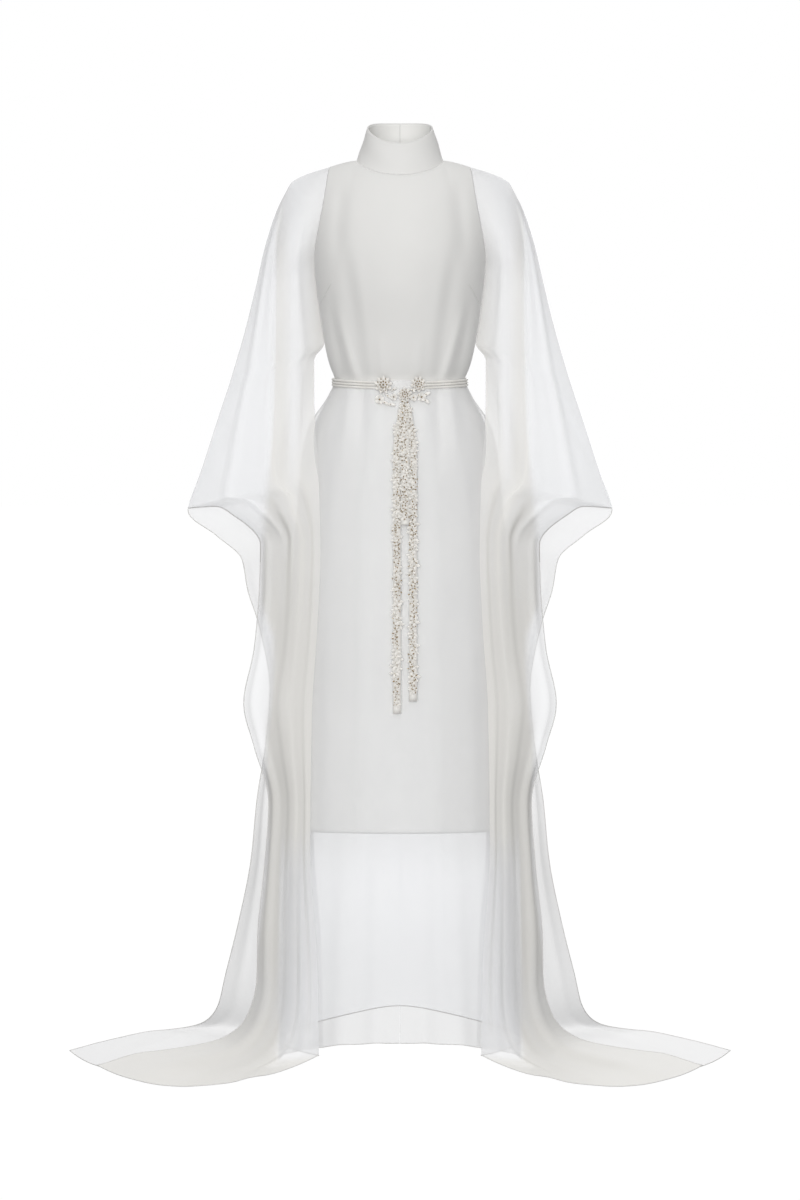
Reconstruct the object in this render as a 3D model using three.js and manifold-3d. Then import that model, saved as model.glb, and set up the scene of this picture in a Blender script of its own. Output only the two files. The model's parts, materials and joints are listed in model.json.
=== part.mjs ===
// A floor-length kaftan dress, filled out as if worn. Millimetres, +Z up, front facing -Y.
// A sleeveless crepe dress with a stand collar is the core. Sheer cloth makes the rest: a skirt from the belt
// to the floor, and on each side a wing, a front and a back panel that run from the armhole over the arm,
// part at the wrist, fall along the skirt and spread on the floor as a train. A tie belt of two cords and
// strands of small flowers closes the waist. The origin is the middle of the neck seam, at its sides' height.

import * as THREE from "three";
import { mergeVertices } from "three/addons/utils/BufferGeometryUtils.js";
import Module from "manifold-3d";

const wasm = await Module();
wasm.setup();

const { clamp, degToRad, lerp } = THREE.MathUtils;

// ---- Driving sizes ----

const FLOOR = -1491; // how far the floor lies below the neck
const CREPE = 2; // wall of the lined crepe
const SHEER = 1.2; // wall of the sheer cloth
const COLLAR_WALL = 2.4; // the collar is two layers of crepe and a stay
const SEAM = 0.3; // the least that two pieces stand apart
const HEM = -1105; // the crepe skirt's hem at the sides
const HEM_RISE = 10; // and how much higher it is at the centre front
const WAIST = -361;
const BELT_DIP = 10; // the belt lies this much lower at the centre front
const ARMHOLE_LOW = -168;
const WING_LEAVES = -300; // the wing is sewn to the side seam down to here, and then hangs free
const FREE_EDGE = 141; // how far from the centre its free edge hangs
const SHOULDER = { x: 115, y: 3, z: -12 }; // the crepe's shoulder point, where the wing begins

// The figure that fills the crepe: half its width and its depth before and behind the side seam.
// edge is where an armhole cuts the panel, and past the armhole it is the side seam.
const FIGURE = [
  { z: -60, half: 146, front: 80, back: 76, edge: 121 },
  { z: -110, half: 147, front: 99, back: 86, edge: 132 },
  { z: -168, half: 143, front: 114, back: 88, edge: 143 },
  { z: -215, half: 140, front: 113, back: 86, edge: 140 },
  { z: -270, half: 134, front: 99, back: 82, edge: 134 },
  { z: -330, half: 122, front: 89, back: 78, edge: 122 },
  { z: -363, half: 108, front: 80, back: 74, edge: 108 },
  { z: -385, half: 115, front: 84, back: 80, edge: 115 },
  { z: -426, half: 134, front: 95, back: 98, edge: 134 },
  { z: -480, half: 147, front: 106, back: 112, edge: 147 },
  { z: -548, half: 154, front: 113, back: 120, edge: 154 },
  { z: -694, half: 165, front: 121, back: 127, edge: 165 },
  { z: -900, half: 170, front: 124, back: 128, edge: 170 },
  { z: -1117, half: 176, front: 130, back: 132, edge: 176 },
  { z: -1300, half: 186, front: 136, back: 138, edge: 186 },
  { z: -1491, half: 198, front: 140, back: 146, edge: 198 },
];

// Soft folds that the belt draws in the crepe front, by their distance from the centre.
const WAIST_FOLDS = [
  { x: 62, wide: 11, high: 4.5, reach: 95 },
  { x: 90, wide: 9, high: 3, reach: 60 },
];

// How far each layer stands off the figure, away from the belt and under it.
const LAYERS = {
  skirt: { loose: 5, belted: 3.2 },
  turned: { loose: 12.5, belted: 5.4 },
  lapped: { loose: 17, belted: 8 },
};

// The collar's lower and upper edges, as rings: half width, centre and half depth, and the heights at the
// centre front, the side and the centre back.
const NECK = { half: 70, y: 3, deep: 62, heights: [-28, 0, 12] };
const COLLAR_TOP = { half: 53, y: 8, deep: 53, heights: [22, 52, 65] };

// The turned-in edge of the sheer skirt: how far from the centre the wing laps onto it at each height.
const LAP = [
  { z: -400, x: 141 },
  { z: -450, x: 138 },
  { z: -548, x: 131 },
  { z: -640, x: 129 },
  { z: -762, x: 134 },
  { z: -900, x: 143 },
  { z: -1117, x: 146 },
  { z: -1320, x: 134 },
  { z: -1491, x: 131 },
];
const SHEER_HEM = { centre: -1372, side: -1448, corner: -1458 }; // the sheer front skirt's hem
const TURN_UP = 4.2; // radius of the fold where the sheer skirt turns back on itself

// A wing's sections, from the shoulder to the train's tip. inner is the height on the edge next to the body,
// x, y and z are the point on the outer edge. bow is how far the section bulges, early
// the share of it near the body, and drop how soon it falls to its outer height.
const WING_FRONT = [
  { inner: -12, x: 181, y: 0, z: -41, bow: 6, early: 1, drop: 0.62 },
  { inner: -58, x: 203, y: 0, z: -85, bow: 22, early: 1, drop: 0.7 },
  { inner: -110, x: 221, y: 0, z: -140, bow: 34, early: 1, drop: 0.85 },
  { inner: -168, x: 237, y: 0, z: -208, bow: 44, early: 1, drop: 1 },
  { inner: -240, x: 255, y: 0, z: -280, bow: 46, early: 1, drop: 1 },
  { inner: -299, x: 272, y: 0, z: -338, bow: 44, early: 1, drop: 1 },
  { inner: -313, x: 280, y: 0, z: -364, bow: 42, early: 1, drop: 1 },
  { inner: -380, x: 302, y: 0, z: -430, bow: 40, early: 1, drop: 1 },
  { inner: -450, x: 327, y: 0, z: -507, bow: 30, early: 1, drop: 1 },
  { inner: -510, x: 350, y: 0, z: -571, bow: 22, early: 1, drop: 1 },
  { inner: -545, x: 304, y: 12, z: -568, bow: 18, early: 1, drop: 1 },
  { inner: -575, x: 270, y: 20, z: -585, bow: 14, early: 1, drop: 1 },
  { inner: -620, x: 229, y: 24, z: -630, bow: 12, early: 1, drop: 1 },
  { inner: -700, x: 231, y: 22, z: -700, bow: 12, early: 1, drop: 1 },
  { inner: -800, x: 240, y: 16, z: -800, bow: 12, early: 1, drop: 1 },
  { inner: -892, x: 258, y: 12, z: -892, bow: 12, early: 1, drop: 1 },
  { inner: -965, x: 241, y: 12, z: -965, bow: 12, early: 1, drop: 1 },
  { inner: -1058, x: 217, y: 12, z: -1058, bow: 12, early: 1, drop: 1 },
  { inner: -1170, x: 225, y: 8, z: -1170, bow: 14, early: 1, drop: 1 },
  { inner: -1285, x: 236, y: 4, z: -1275, bow: 18, early: 1, drop: 1 },
  { inner: -1370, x: 238, y: -4, z: -1352, bow: 30, early: 1, drop: 1 },
  { inner: -1415, x: 256, y: -20, z: -1420, bow: 62, early: 0.8, drop: 1.2 },
  { inner: -1440, x: 304, y: -40, z: -1462, bow: 132, early: 0.6, drop: 1.9 },
  { inner: -1451, x: 424, y: -34, z: -1482, bow: 205, early: 0.5, drop: 3 },
  { inner: -1456, x: 497, y: 60, z: -1486, bow: 262, early: 0.4, drop: 5 },
];
const WING_BACK = [
  { inner: -12, x: 181, y: 0, z: -41, bow: 6, early: 1, drop: 0.62 },
  { inner: -58, x: 203, y: 0, z: -85, bow: 22, early: 1, drop: 0.7 },
  { inner: -110, x: 221, y: 0, z: -140, bow: 34, early: 1, drop: 0.85 },
  { inner: -168, x: 237, y: 0, z: -208, bow: 44, early: 1, drop: 1 },
  { inner: -240, x: 255, y: 0, z: -280, bow: 46, early: 1, drop: 1 },
  { inner: -299, x: 272, y: 0, z: -338, bow: 44, early: 1, drop: 1 },
  { inner: -313, x: 280, y: 0, z: -364, bow: 42, early: 1, drop: 1 },
  { inner: -380, x: 302, y: 0, z: -430, bow: 40, early: 1, drop: 1 },
  { inner: -450, x: 327, y: 0, z: -507, bow: 30, early: 1, drop: 1 },
  { inner: -510, x: 350, y: 0, z: -574, bow: 22, early: 1, drop: 1 },
  { inner: -560, x: 304, y: 12, z: -616, bow: 18, early: 1, drop: 1 },
  { inner: -625, x: 262, y: 20, z: -656, bow: 14, early: 1, drop: 1 },
  { inner: -695, x: 253, y: 24, z: -706, bow: 12, early: 1, drop: 1 },
  { inner: -770, x: 233, y: 24, z: -770, bow: 12, early: 1, drop: 1 },
  { inner: -870, x: 216, y: 24, z: -870, bow: 12, early: 1, drop: 1 },
  { inner: -960, x: 223, y: 20, z: -960, bow: 12, early: 1, drop: 1 },
  { inner: -1056, x: 238, y: 18, z: -1056, bow: 12, early: 1, drop: 1 },
  { inner: -1155, x: 248, y: 20, z: -1155, bow: 14, early: 1, drop: 1 },
  { inner: -1260, x: 268, y: 32, z: -1255, bow: 18, early: 1, drop: 1 },
  { inner: -1370, x: 292, y: 62, z: -1350, bow: 22, early: 1, drop: 1 },
  { inner: -1440, x: 312, y: 122, z: -1424, bow: 24, early: 1, drop: 1.2 },
  { inner: -1472, x: 350, y: 206, z: -1468, bow: 6, early: 0.5, drop: 2 },
  { inner: -1486, x: 424, y: 246, z: -1486, bow: -70, early: 0, drop: 3 },
  { inner: -1489, x: 500, y: 176, z: -1489, bow: -150, early: 0, drop: 4 },
  { inner: -1490, x: 559, y: 88, z: -1490, bow: -215, early: 0, drop: 6 },
];
const REST = { front: 5.5, back: 0.8 }; // how far above the floor each wing panel's middle lies
const WING_HALF_STEPS = [0, 10, 11, 12, 19, 20, 21, 22, 23]; // sections after which the wing bends most
const WING_COLUMNS = 10;
const JOINED_ROWS = 10; // sections down to the wrist, where front and back are sewn together

// Folds in a wing: where across it each one runs at its first and last section, from 0 at the body to 1 at
// the outer edge, and its width and height.
const WING_FOLDS = [
  { from: 1, to: 12, start: 0.62, end: 0.34, wide: 0.07, high: 13 },
  { from: 3, to: 21, start: 0.2, end: 0.16, wide: 0.07, high: 8 },
  { from: 9, to: 23, start: 0.44, end: 0.4, wide: 0.08, high: 12 },
  { from: 12, to: 24, start: 0.68, end: 0.62, wide: 0.08, high: 13 },
  { from: 13, to: 23.5, start: 0.9, end: 0.86, wide: 0.06, high: 9 },
];

// Where the rows of a sheer skirt panel lie, as shares of its height: close together under the belt.
const SKIRT_ROWS = [0, 0.012, 0.03, 0.055, 0.09, 0.14, 0.2, 0.28, 0.37, 0.47, 0.57, 0.67, 0.77, 0.86, 0.94, 1];

// Folds of the sheer skirt, by the angle round the figure.
const SKIRT_FOLDS = [
  { turn: 20, wide: 6, high: 3 },
  { turn: 42, wide: 6, high: 4 },
  { turn: 118, wide: 8, high: 8 },
  { turn: 140, wide: 8, high: 9 },
  { turn: 163, wide: 7, high: 8 },
];

// The belt: three cords of a diameter, sewn side by side, the depth of the band behind their middle, and how
// far that middle is from the figure.
const BELT = { cord: 4.4, cords: 3, back: 1.2, clear: 9.9 };
const ROSETTES = [
  { name: "rosette_left", x: -27, z: -370, radius: 14.5, turn: 0 },
  { name: "rosette_right", x: 30, z: -369, radius: 13, turn: 0.3 },
  { name: "rosette_middle", x: 8, z: -386, radius: 12, turn: 0.6 },
];
const ROSETTE_TIERS = [
  { share: 1, petals: 9, thick: 2.2 },
  { share: 0.68, petals: 7, thick: 1.8 },
  { share: 0.36, petals: 6, thick: 1.8 },
];
const ROSETTE_CLEAR = 14; // from the figure to a rosette's back
const FLOWER = { radius: 7, thick: 2.4, petals: 4, pitch: 16 };
const STRANDS = [
  { name: "strand_left", x: -5, top: -412, low: -908, out: 0 },
  { name: "strand_right", x: 21, top: -412, low: -886, out: 0 },
  { name: "strand_middle", x: 8, top: -400, low: -574, out: 4 },
];
const TAPE = { half: 1.6, thick: 1, tab: 12 }; // the tape that a strand's flowers are sewn to, and its plain end
const STRAND_CLEAR = 9.5; // how far the tape hangs before the figure

// Sprays beside the rosettes: small flowers and leaves, each by its middle, half its length and its turn.
const SPRAY_LEFT = [
  { x: -33, z: -394, long: 7.5, turn: 0, petals: 5 },
  { x: -25, z: -399, long: 8, turn: 118, petals: 0 },
  { x: -15, z: -402, long: 8, turn: 98, petals: 0 },
];
const SPRAY_RIGHT = [
  { x: 35, z: -390, long: 7, turn: 0, petals: 5 },
  { x: 42, z: -386, long: 8, turn: 62, petals: 0 },
  { x: 41, z: -395, long: 8, turn: 130, petals: 0 },
];

// ---- Tools ----

// Reads a named column of a table at a value of its key column, on a smooth curve that never overshoots.
function read(table, key, name, value) {
  const last = table.length - 1;
  const way = Math.sign(table[last][key] - table[0][key]);
  let i = 0;
  while (i < last - 1 && (value - table[i + 1][key]) * way > 0) i += 1;
  const step = (k) => table[k + 1][key] - table[k][key];
  const rise = (k) => (table[k + 1][name] - table[k][name]) / step(k);
  const slope = (k) => {
    const before = rise(Math.max(k - 1, 0));
    const after = rise(Math.min(k, last - 1));
    return before * after <= 0 ? 0 : (2 * before * after) / (before + after);
  };
  const t = clamp((value - table[i][key]) / step(i), 0, 1);
  const ease = t * t * (3 - 2 * t);
  const start = slope(i) * step(i) * t * (1 - t) * (1 - t);
  const end = slope(i + 1) * step(i) * t * t * (1 - t);
  return lerp(table[i][name], table[i + 1][name], ease) + start - end;
}

// Gives each row of a table its number, so that read() can go by it.
const numbered = (table) => table.map((line, row) => ({ row, ...line }));

// A soft ridge: 1 at its middle and near 0 two widths away.
const ridge = (distance, wide) => Math.exp(-((distance / wide) ** 2));

// Rises from 0 to 1 between two values, and falls again if they are given the other way round.
function fade(from, to, value) {
  const t = clamp((value - from) / (to - from), 0, 1);
  return t * t * (3 - 2 * t);
}

// The unit normal at each point of a grid.
function normalsOf(grid) {
  const rows = grid.length;
  const columns = grid[0].length;
  return grid.map((line, r) =>
    line.map((_, c) => {
      const across = line[Math.min(c + 1, columns - 1)].clone().sub(line[Math.max(c - 1, 0)]);
      const down = grid[Math.min(r + 1, rows - 1)][c].clone().sub(grid[Math.max(r - 1, 0)][c]);
      return across.cross(down).normalize();
    }),
  );
}

// A closed wall of even thickness, from a grid of the points midway through it.
function wall(grid, thickness) {
  const rows = grid.length;
  const columns = grid[0].length;
  const normals = normalsOf(grid);
  const positions = [];
  for (const side of [1, -1])
    grid.forEach((line, r) =>
      line.forEach((point, c) =>
        positions.push(...point.clone().addScaledVector(normals[r][c], (side * thickness) / 2)),
      ),
    );
  const index = [];
  const at = (face, r, c) => (face * rows + r) * columns + c;
  const quad = (a, b, c, d) => index.push(a, b, c, a, c, d);
  for (let r = 0; r < rows - 1; r += 1)
    for (let c = 0; c < columns - 1; c += 1) {
      quad(at(0, r, c), at(0, r, c + 1), at(0, r + 1, c + 1), at(0, r + 1, c));
      quad(at(1, r, c), at(1, r + 1, c), at(1, r + 1, c + 1), at(1, r, c + 1));
    }
  for (let r = 0; r < rows - 1; r += 1) {
    quad(at(0, r, 0), at(0, r + 1, 0), at(1, r + 1, 0), at(1, r, 0));
    quad(at(0, r + 1, columns - 1), at(0, r, columns - 1), at(1, r, columns - 1), at(1, r + 1, columns - 1));
  }
  for (let c = 0; c < columns - 1; c += 1) {
    quad(at(0, 0, c + 1), at(0, 0, c), at(1, 0, c), at(1, 0, c + 1));
    quad(at(0, rows - 1, c), at(0, rows - 1, c + 1), at(1, rows - 1, c + 1), at(1, rows - 1, c));
  }
  return new THREE.BufferGeometry()
    .setAttribute("position", new THREE.Float32BufferAttribute(positions, 3))
    .setIndex(index);
}

// A solid swept through rings of points, all made from one anticlockwise outline whose face looks back along
// the sweep.
function sweep(rings, outline) {
  const count = outline.length;
  const index = [];
  for (let r = 0; r < rings.length - 1; r += 1)
    for (let k = 0; k < count; k += 1) {
      const [a, b] = [r * count + k, r * count + ((k + 1) % count)];
      index.push(a, b + count, b, a, a + count, b + count);
    }
  const last = (rings.length - 1) * count;
  const cap = THREE.ShapeUtils.triangulateShape(outline.map(([x, y]) => new THREE.Vector2(x, y)), []);
  for (const [a, b, c] of cap) index.push(a, b, c, last + c, last + b, last + a);
  return new THREE.BufferGeometry()
    .setAttribute("position", new THREE.Float32BufferAttribute(rings.flat().flatMap((p) => [...p]), 3))
    .setIndex(index);
}

// Numbers from first to last, in equal steps.
const spread = (count, first = 0, last = 1) =>
  Array.from({ length: count }, (_, i) => lerp(first, last, i / (count - 1)));

const mirrored = (grid, side) => grid.map((line) => line.map((p) => new THREE.Vector3(side * p.x, p.y, p.z)));

// A three.js geometry as a solid that can be cut and joined, and back.
function solidOf(geometry) {
  const bare = new THREE.BufferGeometry().setAttribute("position", geometry.getAttribute("position"));
  bare.setIndex(geometry.index);
  const merged = mergeVertices(bare, 1e-4);
  return new wasm.Manifold(
    new wasm.Mesh({
      numProp: 3,
      vertProperties: merged.getAttribute("position").array,
      triVerts: new Uint32Array(merged.index.array),
    }),
  );
}

function geometryOf(solid) {
  const { vertProperties, triVerts } = solid.getMesh();
  return new THREE.BufferGeometry()
    .setAttribute("position", new THREE.BufferAttribute(vertProperties, 3))
    .setIndex(new THREE.BufferAttribute(triVerts, 1));
}

// ---- The figure and the layers on it ----

const figure = (name, z) => read(FIGURE, "z", name, z);

// How far the folds at the waist stand out of the front, x from the centre.
function waistFold(x, z) {
  return WAIST_FOLDS.reduce((all, { x: at, wide, high, reach }) => {
    const above = fade(WAIST + 14, WAIST + 40, z) * fade(WAIST + reach + 90, WAIST + reach, z);
    const below = fade(WAIST - 26, WAIST - 44, z) * fade(WAIST - reach - 70, WAIST - reach, z);
    return all + high * ridge(Math.abs(x) - at, wide) * (above + 0.8 * below);
  }, 0);
}

// A point round the figure, clear of it: turn is 0 at the centre front, 90 at the side, 180 at the back.
function aroundFigure(turn, z, clear) {
  const angle = degToRad(turn);
  const x = (figure("half", z) + clear) * Math.sin(angle);
  if (Math.cos(angle) < 0) return new THREE.Vector3(x, -(figure("back", z) + clear) * Math.cos(angle), z);
  return new THREE.Vector3(x, -(figure("front", z) + clear) * Math.cos(angle) - waistFold(x, z), z);
}

// How far a layer stands off the figure at a height: close under the belt and loose away from it.
function clearOf(layer, z) {
  const { loose, belted } = LAYERS[layer];
  return lerp(belted, loose, fade(WAIST - 22, WAIST - 85, z));
}

// The turn at which a layer is a distance x from the centre.
function turnAt(x, z, clear) {
  return THREE.MathUtils.radToDeg(Math.asin(clamp(x / (figure("half", z) + clear), -1, 1)));
}

// A point of a collar edge. Its height is given at the front, the side and the back.
function onRing(ring, turn) {
  const [front, side, back] = ring.heights;
  const angle = degToRad(turn);
  const twice = ((front + back) / 2 - side) / 2;
  const z = side + twice + ((front - back) / 2) * Math.cos(angle) + twice * Math.cos(2 * angle);
  return new THREE.Vector3(ring.half * Math.sin(angle), ring.y - ring.deep * Math.cos(angle), z);
}

// ---- The crepe dress ----

// The share of a crepe panel's half top edge that is neck, and the columns across the half: as many a quarter
// turn as the collar has, and then along the shoulder.
const NECK_SHARE = 0.62;
const NECK_STEPS = 6;
const BACK_SEAM = 0.0016; // keeps the two back halves apart
const CREPE_COLUMNS = [...spread(NECK_STEPS + 1, 0, NECK_SHARE), ...spread(4, NECK_SHARE, 1).slice(1)];

// The point of a crepe panel's top edge at u, from the centre of the neck to the shoulder point.
function crepeTop(u, facing) {
  const gap = 0.6;
  const shoulderY = SHOULDER.y + facing * gap;
  if (u <= NECK_SHARE) {
    const turn = 90 * (u / NECK_SHARE);
    const point = onRing(NECK, facing < 0 ? turn : 180 - turn);
    point.z -= CREPE / 2 + SEAM;
    point.y = facing * Math.max(facing * point.y, facing * shoulderY);
    return point;
  }
  const t = (u - NECK_SHARE) / (1 - NECK_SHARE);
  return new THREE.Vector3(lerp(NECK.half, SHOULDER.x, t), shoulderY, lerp(-CREPE / 2 - SEAM, SHOULDER.z, t ** 1.5));
}

// A point of the crepe at u across the half panel and a height, below the chest line.
function crepePoint(u, z, facing) {
  const edgeTurn = turnAt(figure("edge", z), z, 0);
  const sideGap = edgeTurn > 88 ? 0.2 : 0;
  const turn = u * (edgeTurn - sideGap);
  const point = aroundFigure(facing < 0 ? turn : 180 - turn, z, 0);
  const low = HEM + HEM_RISE * (1 - u * u) * (facing < 0 ? 1 : 0.4);
  if (z < -1000) point.z = lerp(-1000, low, (z + 1000) / (HEM + 1000));
  return point;
}

const CHEST = FIGURE[0].z;
const CREPE_LEVELS = [-60, -88, -115, -142, -168, -200, -240, -285, -325, -350, -363, -376, -396, -425, -475, -550, -700,
  -900, -1050, -1105];

// One half panel's column at u: over the shoulder to the chest, then down the figure.
function crepeColumn(u, facing) {
  const top = crepeTop(u, facing);
  const chest = crepePoint(u, CHEST, facing);
  const over = new THREE.CubicBezierCurve3(
    top,
    new THREE.Vector3(lerp(top.x, chest.x, 0.3), lerp(top.y, chest.y, 0.62), lerp(top.z, chest.z, 0.12)),
    new THREE.Vector3(lerp(top.x, chest.x, 0.8), lerp(top.y, chest.y, 0.9), lerp(top.z, chest.z, 0.6)),
    chest,
  );
  const shoulder = spread(4, 0, 0.78).map((t) => over.getPoint(t));
  return [...shoulder, ...CREPE_LEVELS.map((z) => crepePoint(u, z, facing))];
}

// Turns a list of columns into a list of rows.
const rowsOf = (columns) => columns[0].map((_, r) => columns.map((column) => column[r]));

function crepeFront() {
  const half = CREPE_COLUMNS.map((u) => crepeColumn(u, -1));
  const other = half.slice(1).reverse();
  return wall(rowsOf([...mirrored(other, -1), ...half]), CREPE);
}

function crepeBack(side) {
  const columns = CREPE_COLUMNS.map((u) => crepeColumn(Math.max(u, BACK_SEAM), 1));
  return wall(mirrored(rowsOf(columns), side), CREPE);
}

function collar() {
  const gap = 0.25;
  const turns = spread(4 * NECK_STEPS + 1, 180, 540).map((turn) => clamp(turn, 180 + gap, 540 - gap));
  const levels = spread(3);
  const grid = levels.map((t) =>
    turns.map((turn) => onRing(NECK, turn).lerp(onRing(COLLAR_TOP, turn), t).setZ(
      lerp(onRing(NECK, turn).z + SEAM, onRing(COLLAR_TOP, turn).z, t),
    )),
  );
  return wall(grid, COLLAR_WALL);
}

// ---- The sheer skirt ----

function skirtFold(turn, z) {
  const sum = SKIRT_FOLDS.reduce((all, fold) => all + fold.high * ridge(turn - fold.turn, fold.wide), 0);
  return sum * fade(WAIST - 10, WAIST - 160, z);
}

// The sheer front: from the centre round to the side, then turned back in front of itself to the lap line.
function skirtHalfSection(share) {
  const top = WAIST - 2;
  const sideTurn = 84;
  const z = lerp(top, SHEER_HEM.side, share);
  const fall = (turn) => lerp(SHEER_HEM.centre, SHEER_HEM.side, (turn / sideTurn) ** 1.2);
  const heightAt = (turn) => lerp(top, fall(turn), share);
  const under = clearOf("skirt", z);
  const over = clearOf("turned", z);
  const points = spread(8, 0, sideTurn).map((turn) => {
    const height = heightAt(turn);
    return aroundFigure(turn, height, under + skirtFold(turn, height) * (1 - (turn / sideTurn) ** 6));
  });
  const tip = aroundFigure(sideTurn + 2, z, (under + over) / 2);
  tip.x += Math.min(TURN_UP, (over - under) / 2);
  points.push(tip);
  const lap = Math.min(read(LAP, "z", "x", z), figure("half", z) + over - 3);
  const lapTurn = Math.min(turnAt(lap, z, over), sideTurn - 5);
  for (const turn of spread(4, sideTurn, lapTurn)) {
    const point = aroundFigure(turn, z, over);
    const back = (sideTurn - turn) / (sideTurn - lapTurn);
    point.z = heightAt(sideTurn) - (SHEER_HEM.side - SHEER_HEM.corner) * back * share ** 6;
    points.push(point);
  }
  return points;
}

function sheerFront() {
  const rows = SKIRT_ROWS.map((share) => {
    const half = skirtHalfSection(share);
    const other = half.slice(1).reverse();
    return [...other.map((p) => new THREE.Vector3(-p.x, p.y, p.z)), ...half];
  });
  return wall(rows, SHEER);
}

function sheerBack(side) {
  const top = WAIST - 2;
  const low = FLOOR + SHEER / 2;
  const rows = SKIRT_ROWS.map((share) => {
    const z = lerp(top, low, share);
    return spread(10, 92, 179.85).map((turn) => {
      const edges = fade(92, 104, turn) * fade(180, 172, turn);
      return aroundFigure(turn, z, clearOf("skirt", z) + skirtFold(turn, z) * edges);
    });
  });
  return wall(mirrored(rows, side), SHEER);
}

// ---- The wings ----

// The wing's edge next to the body: the armhole, then the wing's own seam, then the lap on the skirt.
function wingInner(z, facing) {
  const apart = SHEER / 2 + SEAM;
  if (z > CHEST) {
    const t = (SHOULDER.z - z) / (SHOULDER.z - CHEST);
    const column = crepeColumn(1, facing);
    const at = t * 4;
    const i = Math.min(Math.floor(at), 3);
    const point = column[i].clone().lerp(column[i + 1], at - i);
    return point.add(new THREE.Vector3(CREPE * 0.8, facing * (apart - 0.2) * (1 - fade(0, 0.4, t)), 0));
  }
  if (z > WING_LEAVES) {
    const point = crepePoint(1, z, facing);
    point.x += CREPE * 0.8 + 0.6 * fade(-120, ARMHOLE_LOW, z);
    point.y = facing * Math.max(facing * point.y, apart);
    return point;
  }
  const hip = LAP[0].z;
  const x = z > hip ? FREE_EDGE : read(LAP, "z", "x", z);
  const turn = turnAt(x, z, clearOf("lapped", z));
  const onSkirt = aroundFigure(facing < 0 ? turn : 180 - turn, z, clearOf("lapped", z));
  const y = z > hip + 12 ? 0 : Math.abs(onSkirt.y);
  return new THREE.Vector3(x, facing * Math.max(apart, y), z);
}

// A section across the wing, as a curve from its inner to its outer edge.
function wingSection(table, row, facing) {
  const value = (name) => read(table, "row", name, row);
  const inner = wingInner(value("inner"), facing);
  const apart = SHEER / 2 + SEAM;
  const outer = new THREE.Vector3(value("x"), facing * value("y"), value("z"));
  if (row < JOINED_ROWS) outer.y = facing * Math.max(apart, value("y"));
  const bow = facing * value("bow");
  const first = inner.clone().lerp(outer, 0.33).add(new THREE.Vector3(0, bow * value("early"), 0));
  const second = inner.clone().lerp(outer, 0.67).add(new THREE.Vector3(0, bow, 0));
  return { curve: new THREE.CubicBezierCurve3(inner, first, second, outer), drop: value("drop") };
}

function wing(side, facing) {
  const table = numbered(facing < 0 ? WING_FRONT : WING_BACK);
  const rest = FLOOR + (facing < 0 ? REST.front : REST.back);
  const rows = table.flatMap(({ row }) => (WING_HALF_STEPS.includes(row) ? [row, row + 0.5] : [row]));
  const base = rows.map((row) => {
    const { curve, drop } = wingSection(table, row, facing);
    const [inner, outer] = [curve.v0.z, curve.v3.z];
    return spread(WING_COLUMNS).map((u) => {
      const point = curve.getPoint(u);
      point.z = Math.max(rest, lerp(outer, inner, (1 - u) ** drop));
      return point;
    });
  });
  const normals = normalsOf(base);
  const grid = base.map((line, r) =>
    line.map((point, c) => {
      const u = c / (WING_COLUMNS - 1);
      const lift = WING_FOLDS.reduce((all, { from, to, start, end, wide, high }) => {
        const at = lerp(start, end, clamp((rows[r] - from) / (to - from), 0, 1));
        return all + high * ridge(u - at, wide) * fade(from - 0.5, from + 1.5, rows[r]) * fade(to + 0.5, to - 1.5, rows[r]);
      }, 0);
      const held = fade(0, 0.12, u) * fade(1, 0.92, u);
      const move = normals[r][c].clone().multiplyScalar(facing * lift * held);
      move.z = Math.abs(move.z); // on the floor a fold can only rise
      return point.clone().add(move);
    }),
  );
  return wall(mirrored(grid, side), SHEER);
}

// ---- The belt ----

const beltHeight = (turn) => WAIST - BELT_DIP * ((1 + Math.cos(degToRad(turn))) / 2) ** 2;

// The belt's band from rosette to rosette round the back: three cords side by side on a flat back.
function beltBand() {
  const { cord, cords, back } = BELT;
  const outline = [[-back, (-cords * cord) / 2]];
  for (let k = 0; k < cords; k += 1)
    for (const angle of k ? [-45, 0, 45] : [-90, -45, 0, 45])
      outline.push([
        (cord / 2) * Math.cos(degToRad(angle)),
        (k - (cords - 1) / 2) * cord + (cord / 2) * Math.sin(degToRad(angle)),
      ]);
  outline.push([0, (cords * cord) / 2], [-back, (cords * cord) / 2]);
  const ends = ROSETTES.slice(0, 2).map(({ x }) => turnAt(x, WAIST - BELT_DIP, BELT.clear));
  const rings = spread(31, ends[1], 360 + ends[0]).map((turn) => {
    const z = beltHeight(turn);
    return outline.map(([out, up]) => aroundFigure(turn, z, BELT.clear + out).setZ(z + up));
  });
  return sweep(rings, outline);
}

// A flat flower with pointed round petals.
function flowerShape(radius, petals) {
  const shape = new THREE.Shape();
  const corner = (k, r) => [r * Math.sin((k * Math.PI) / petals), r * Math.cos((k * Math.PI) / petals)];
  shape.moveTo(...corner(0, radius));
  for (let k = 1; k < 2 * petals; k += 1) shape.lineTo(...corner(k, k % 2 ? radius * 0.52 : radius));
  shape.closePath();
  return shape;
}

// A flower that stands on the XZ plane with its face to the front.
function flower(radius, thick, petals, x, y, z, turn) {
  const geometry = new THREE.ExtrudeGeometry(flowerShape(radius, petals), { depth: thick, bevelEnabled: false });
  return geometry.rotateZ(turn).rotateX(Math.PI / 2).translate(x, y, z);
}

// Solids joined into one.
const joined = (solids) => geometryOf(solids.reduce((all, next) => all.add(next)));

function rosette({ x, z, radius, turn }) {
  let y = aroundFigure(turnAt(x, z, ROSETTE_CLEAR), z, ROSETTE_CLEAR).y;
  return joined(
    ROSETTE_TIERS.map(({ share, petals, thick }, tier) => {
      const solid = solidOf(flower(radius * share, thick, petals, x, y, z, turn + tier * 0.4));
      y -= thick - 0.2;
      return solid;
    }),
  );
}

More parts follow.
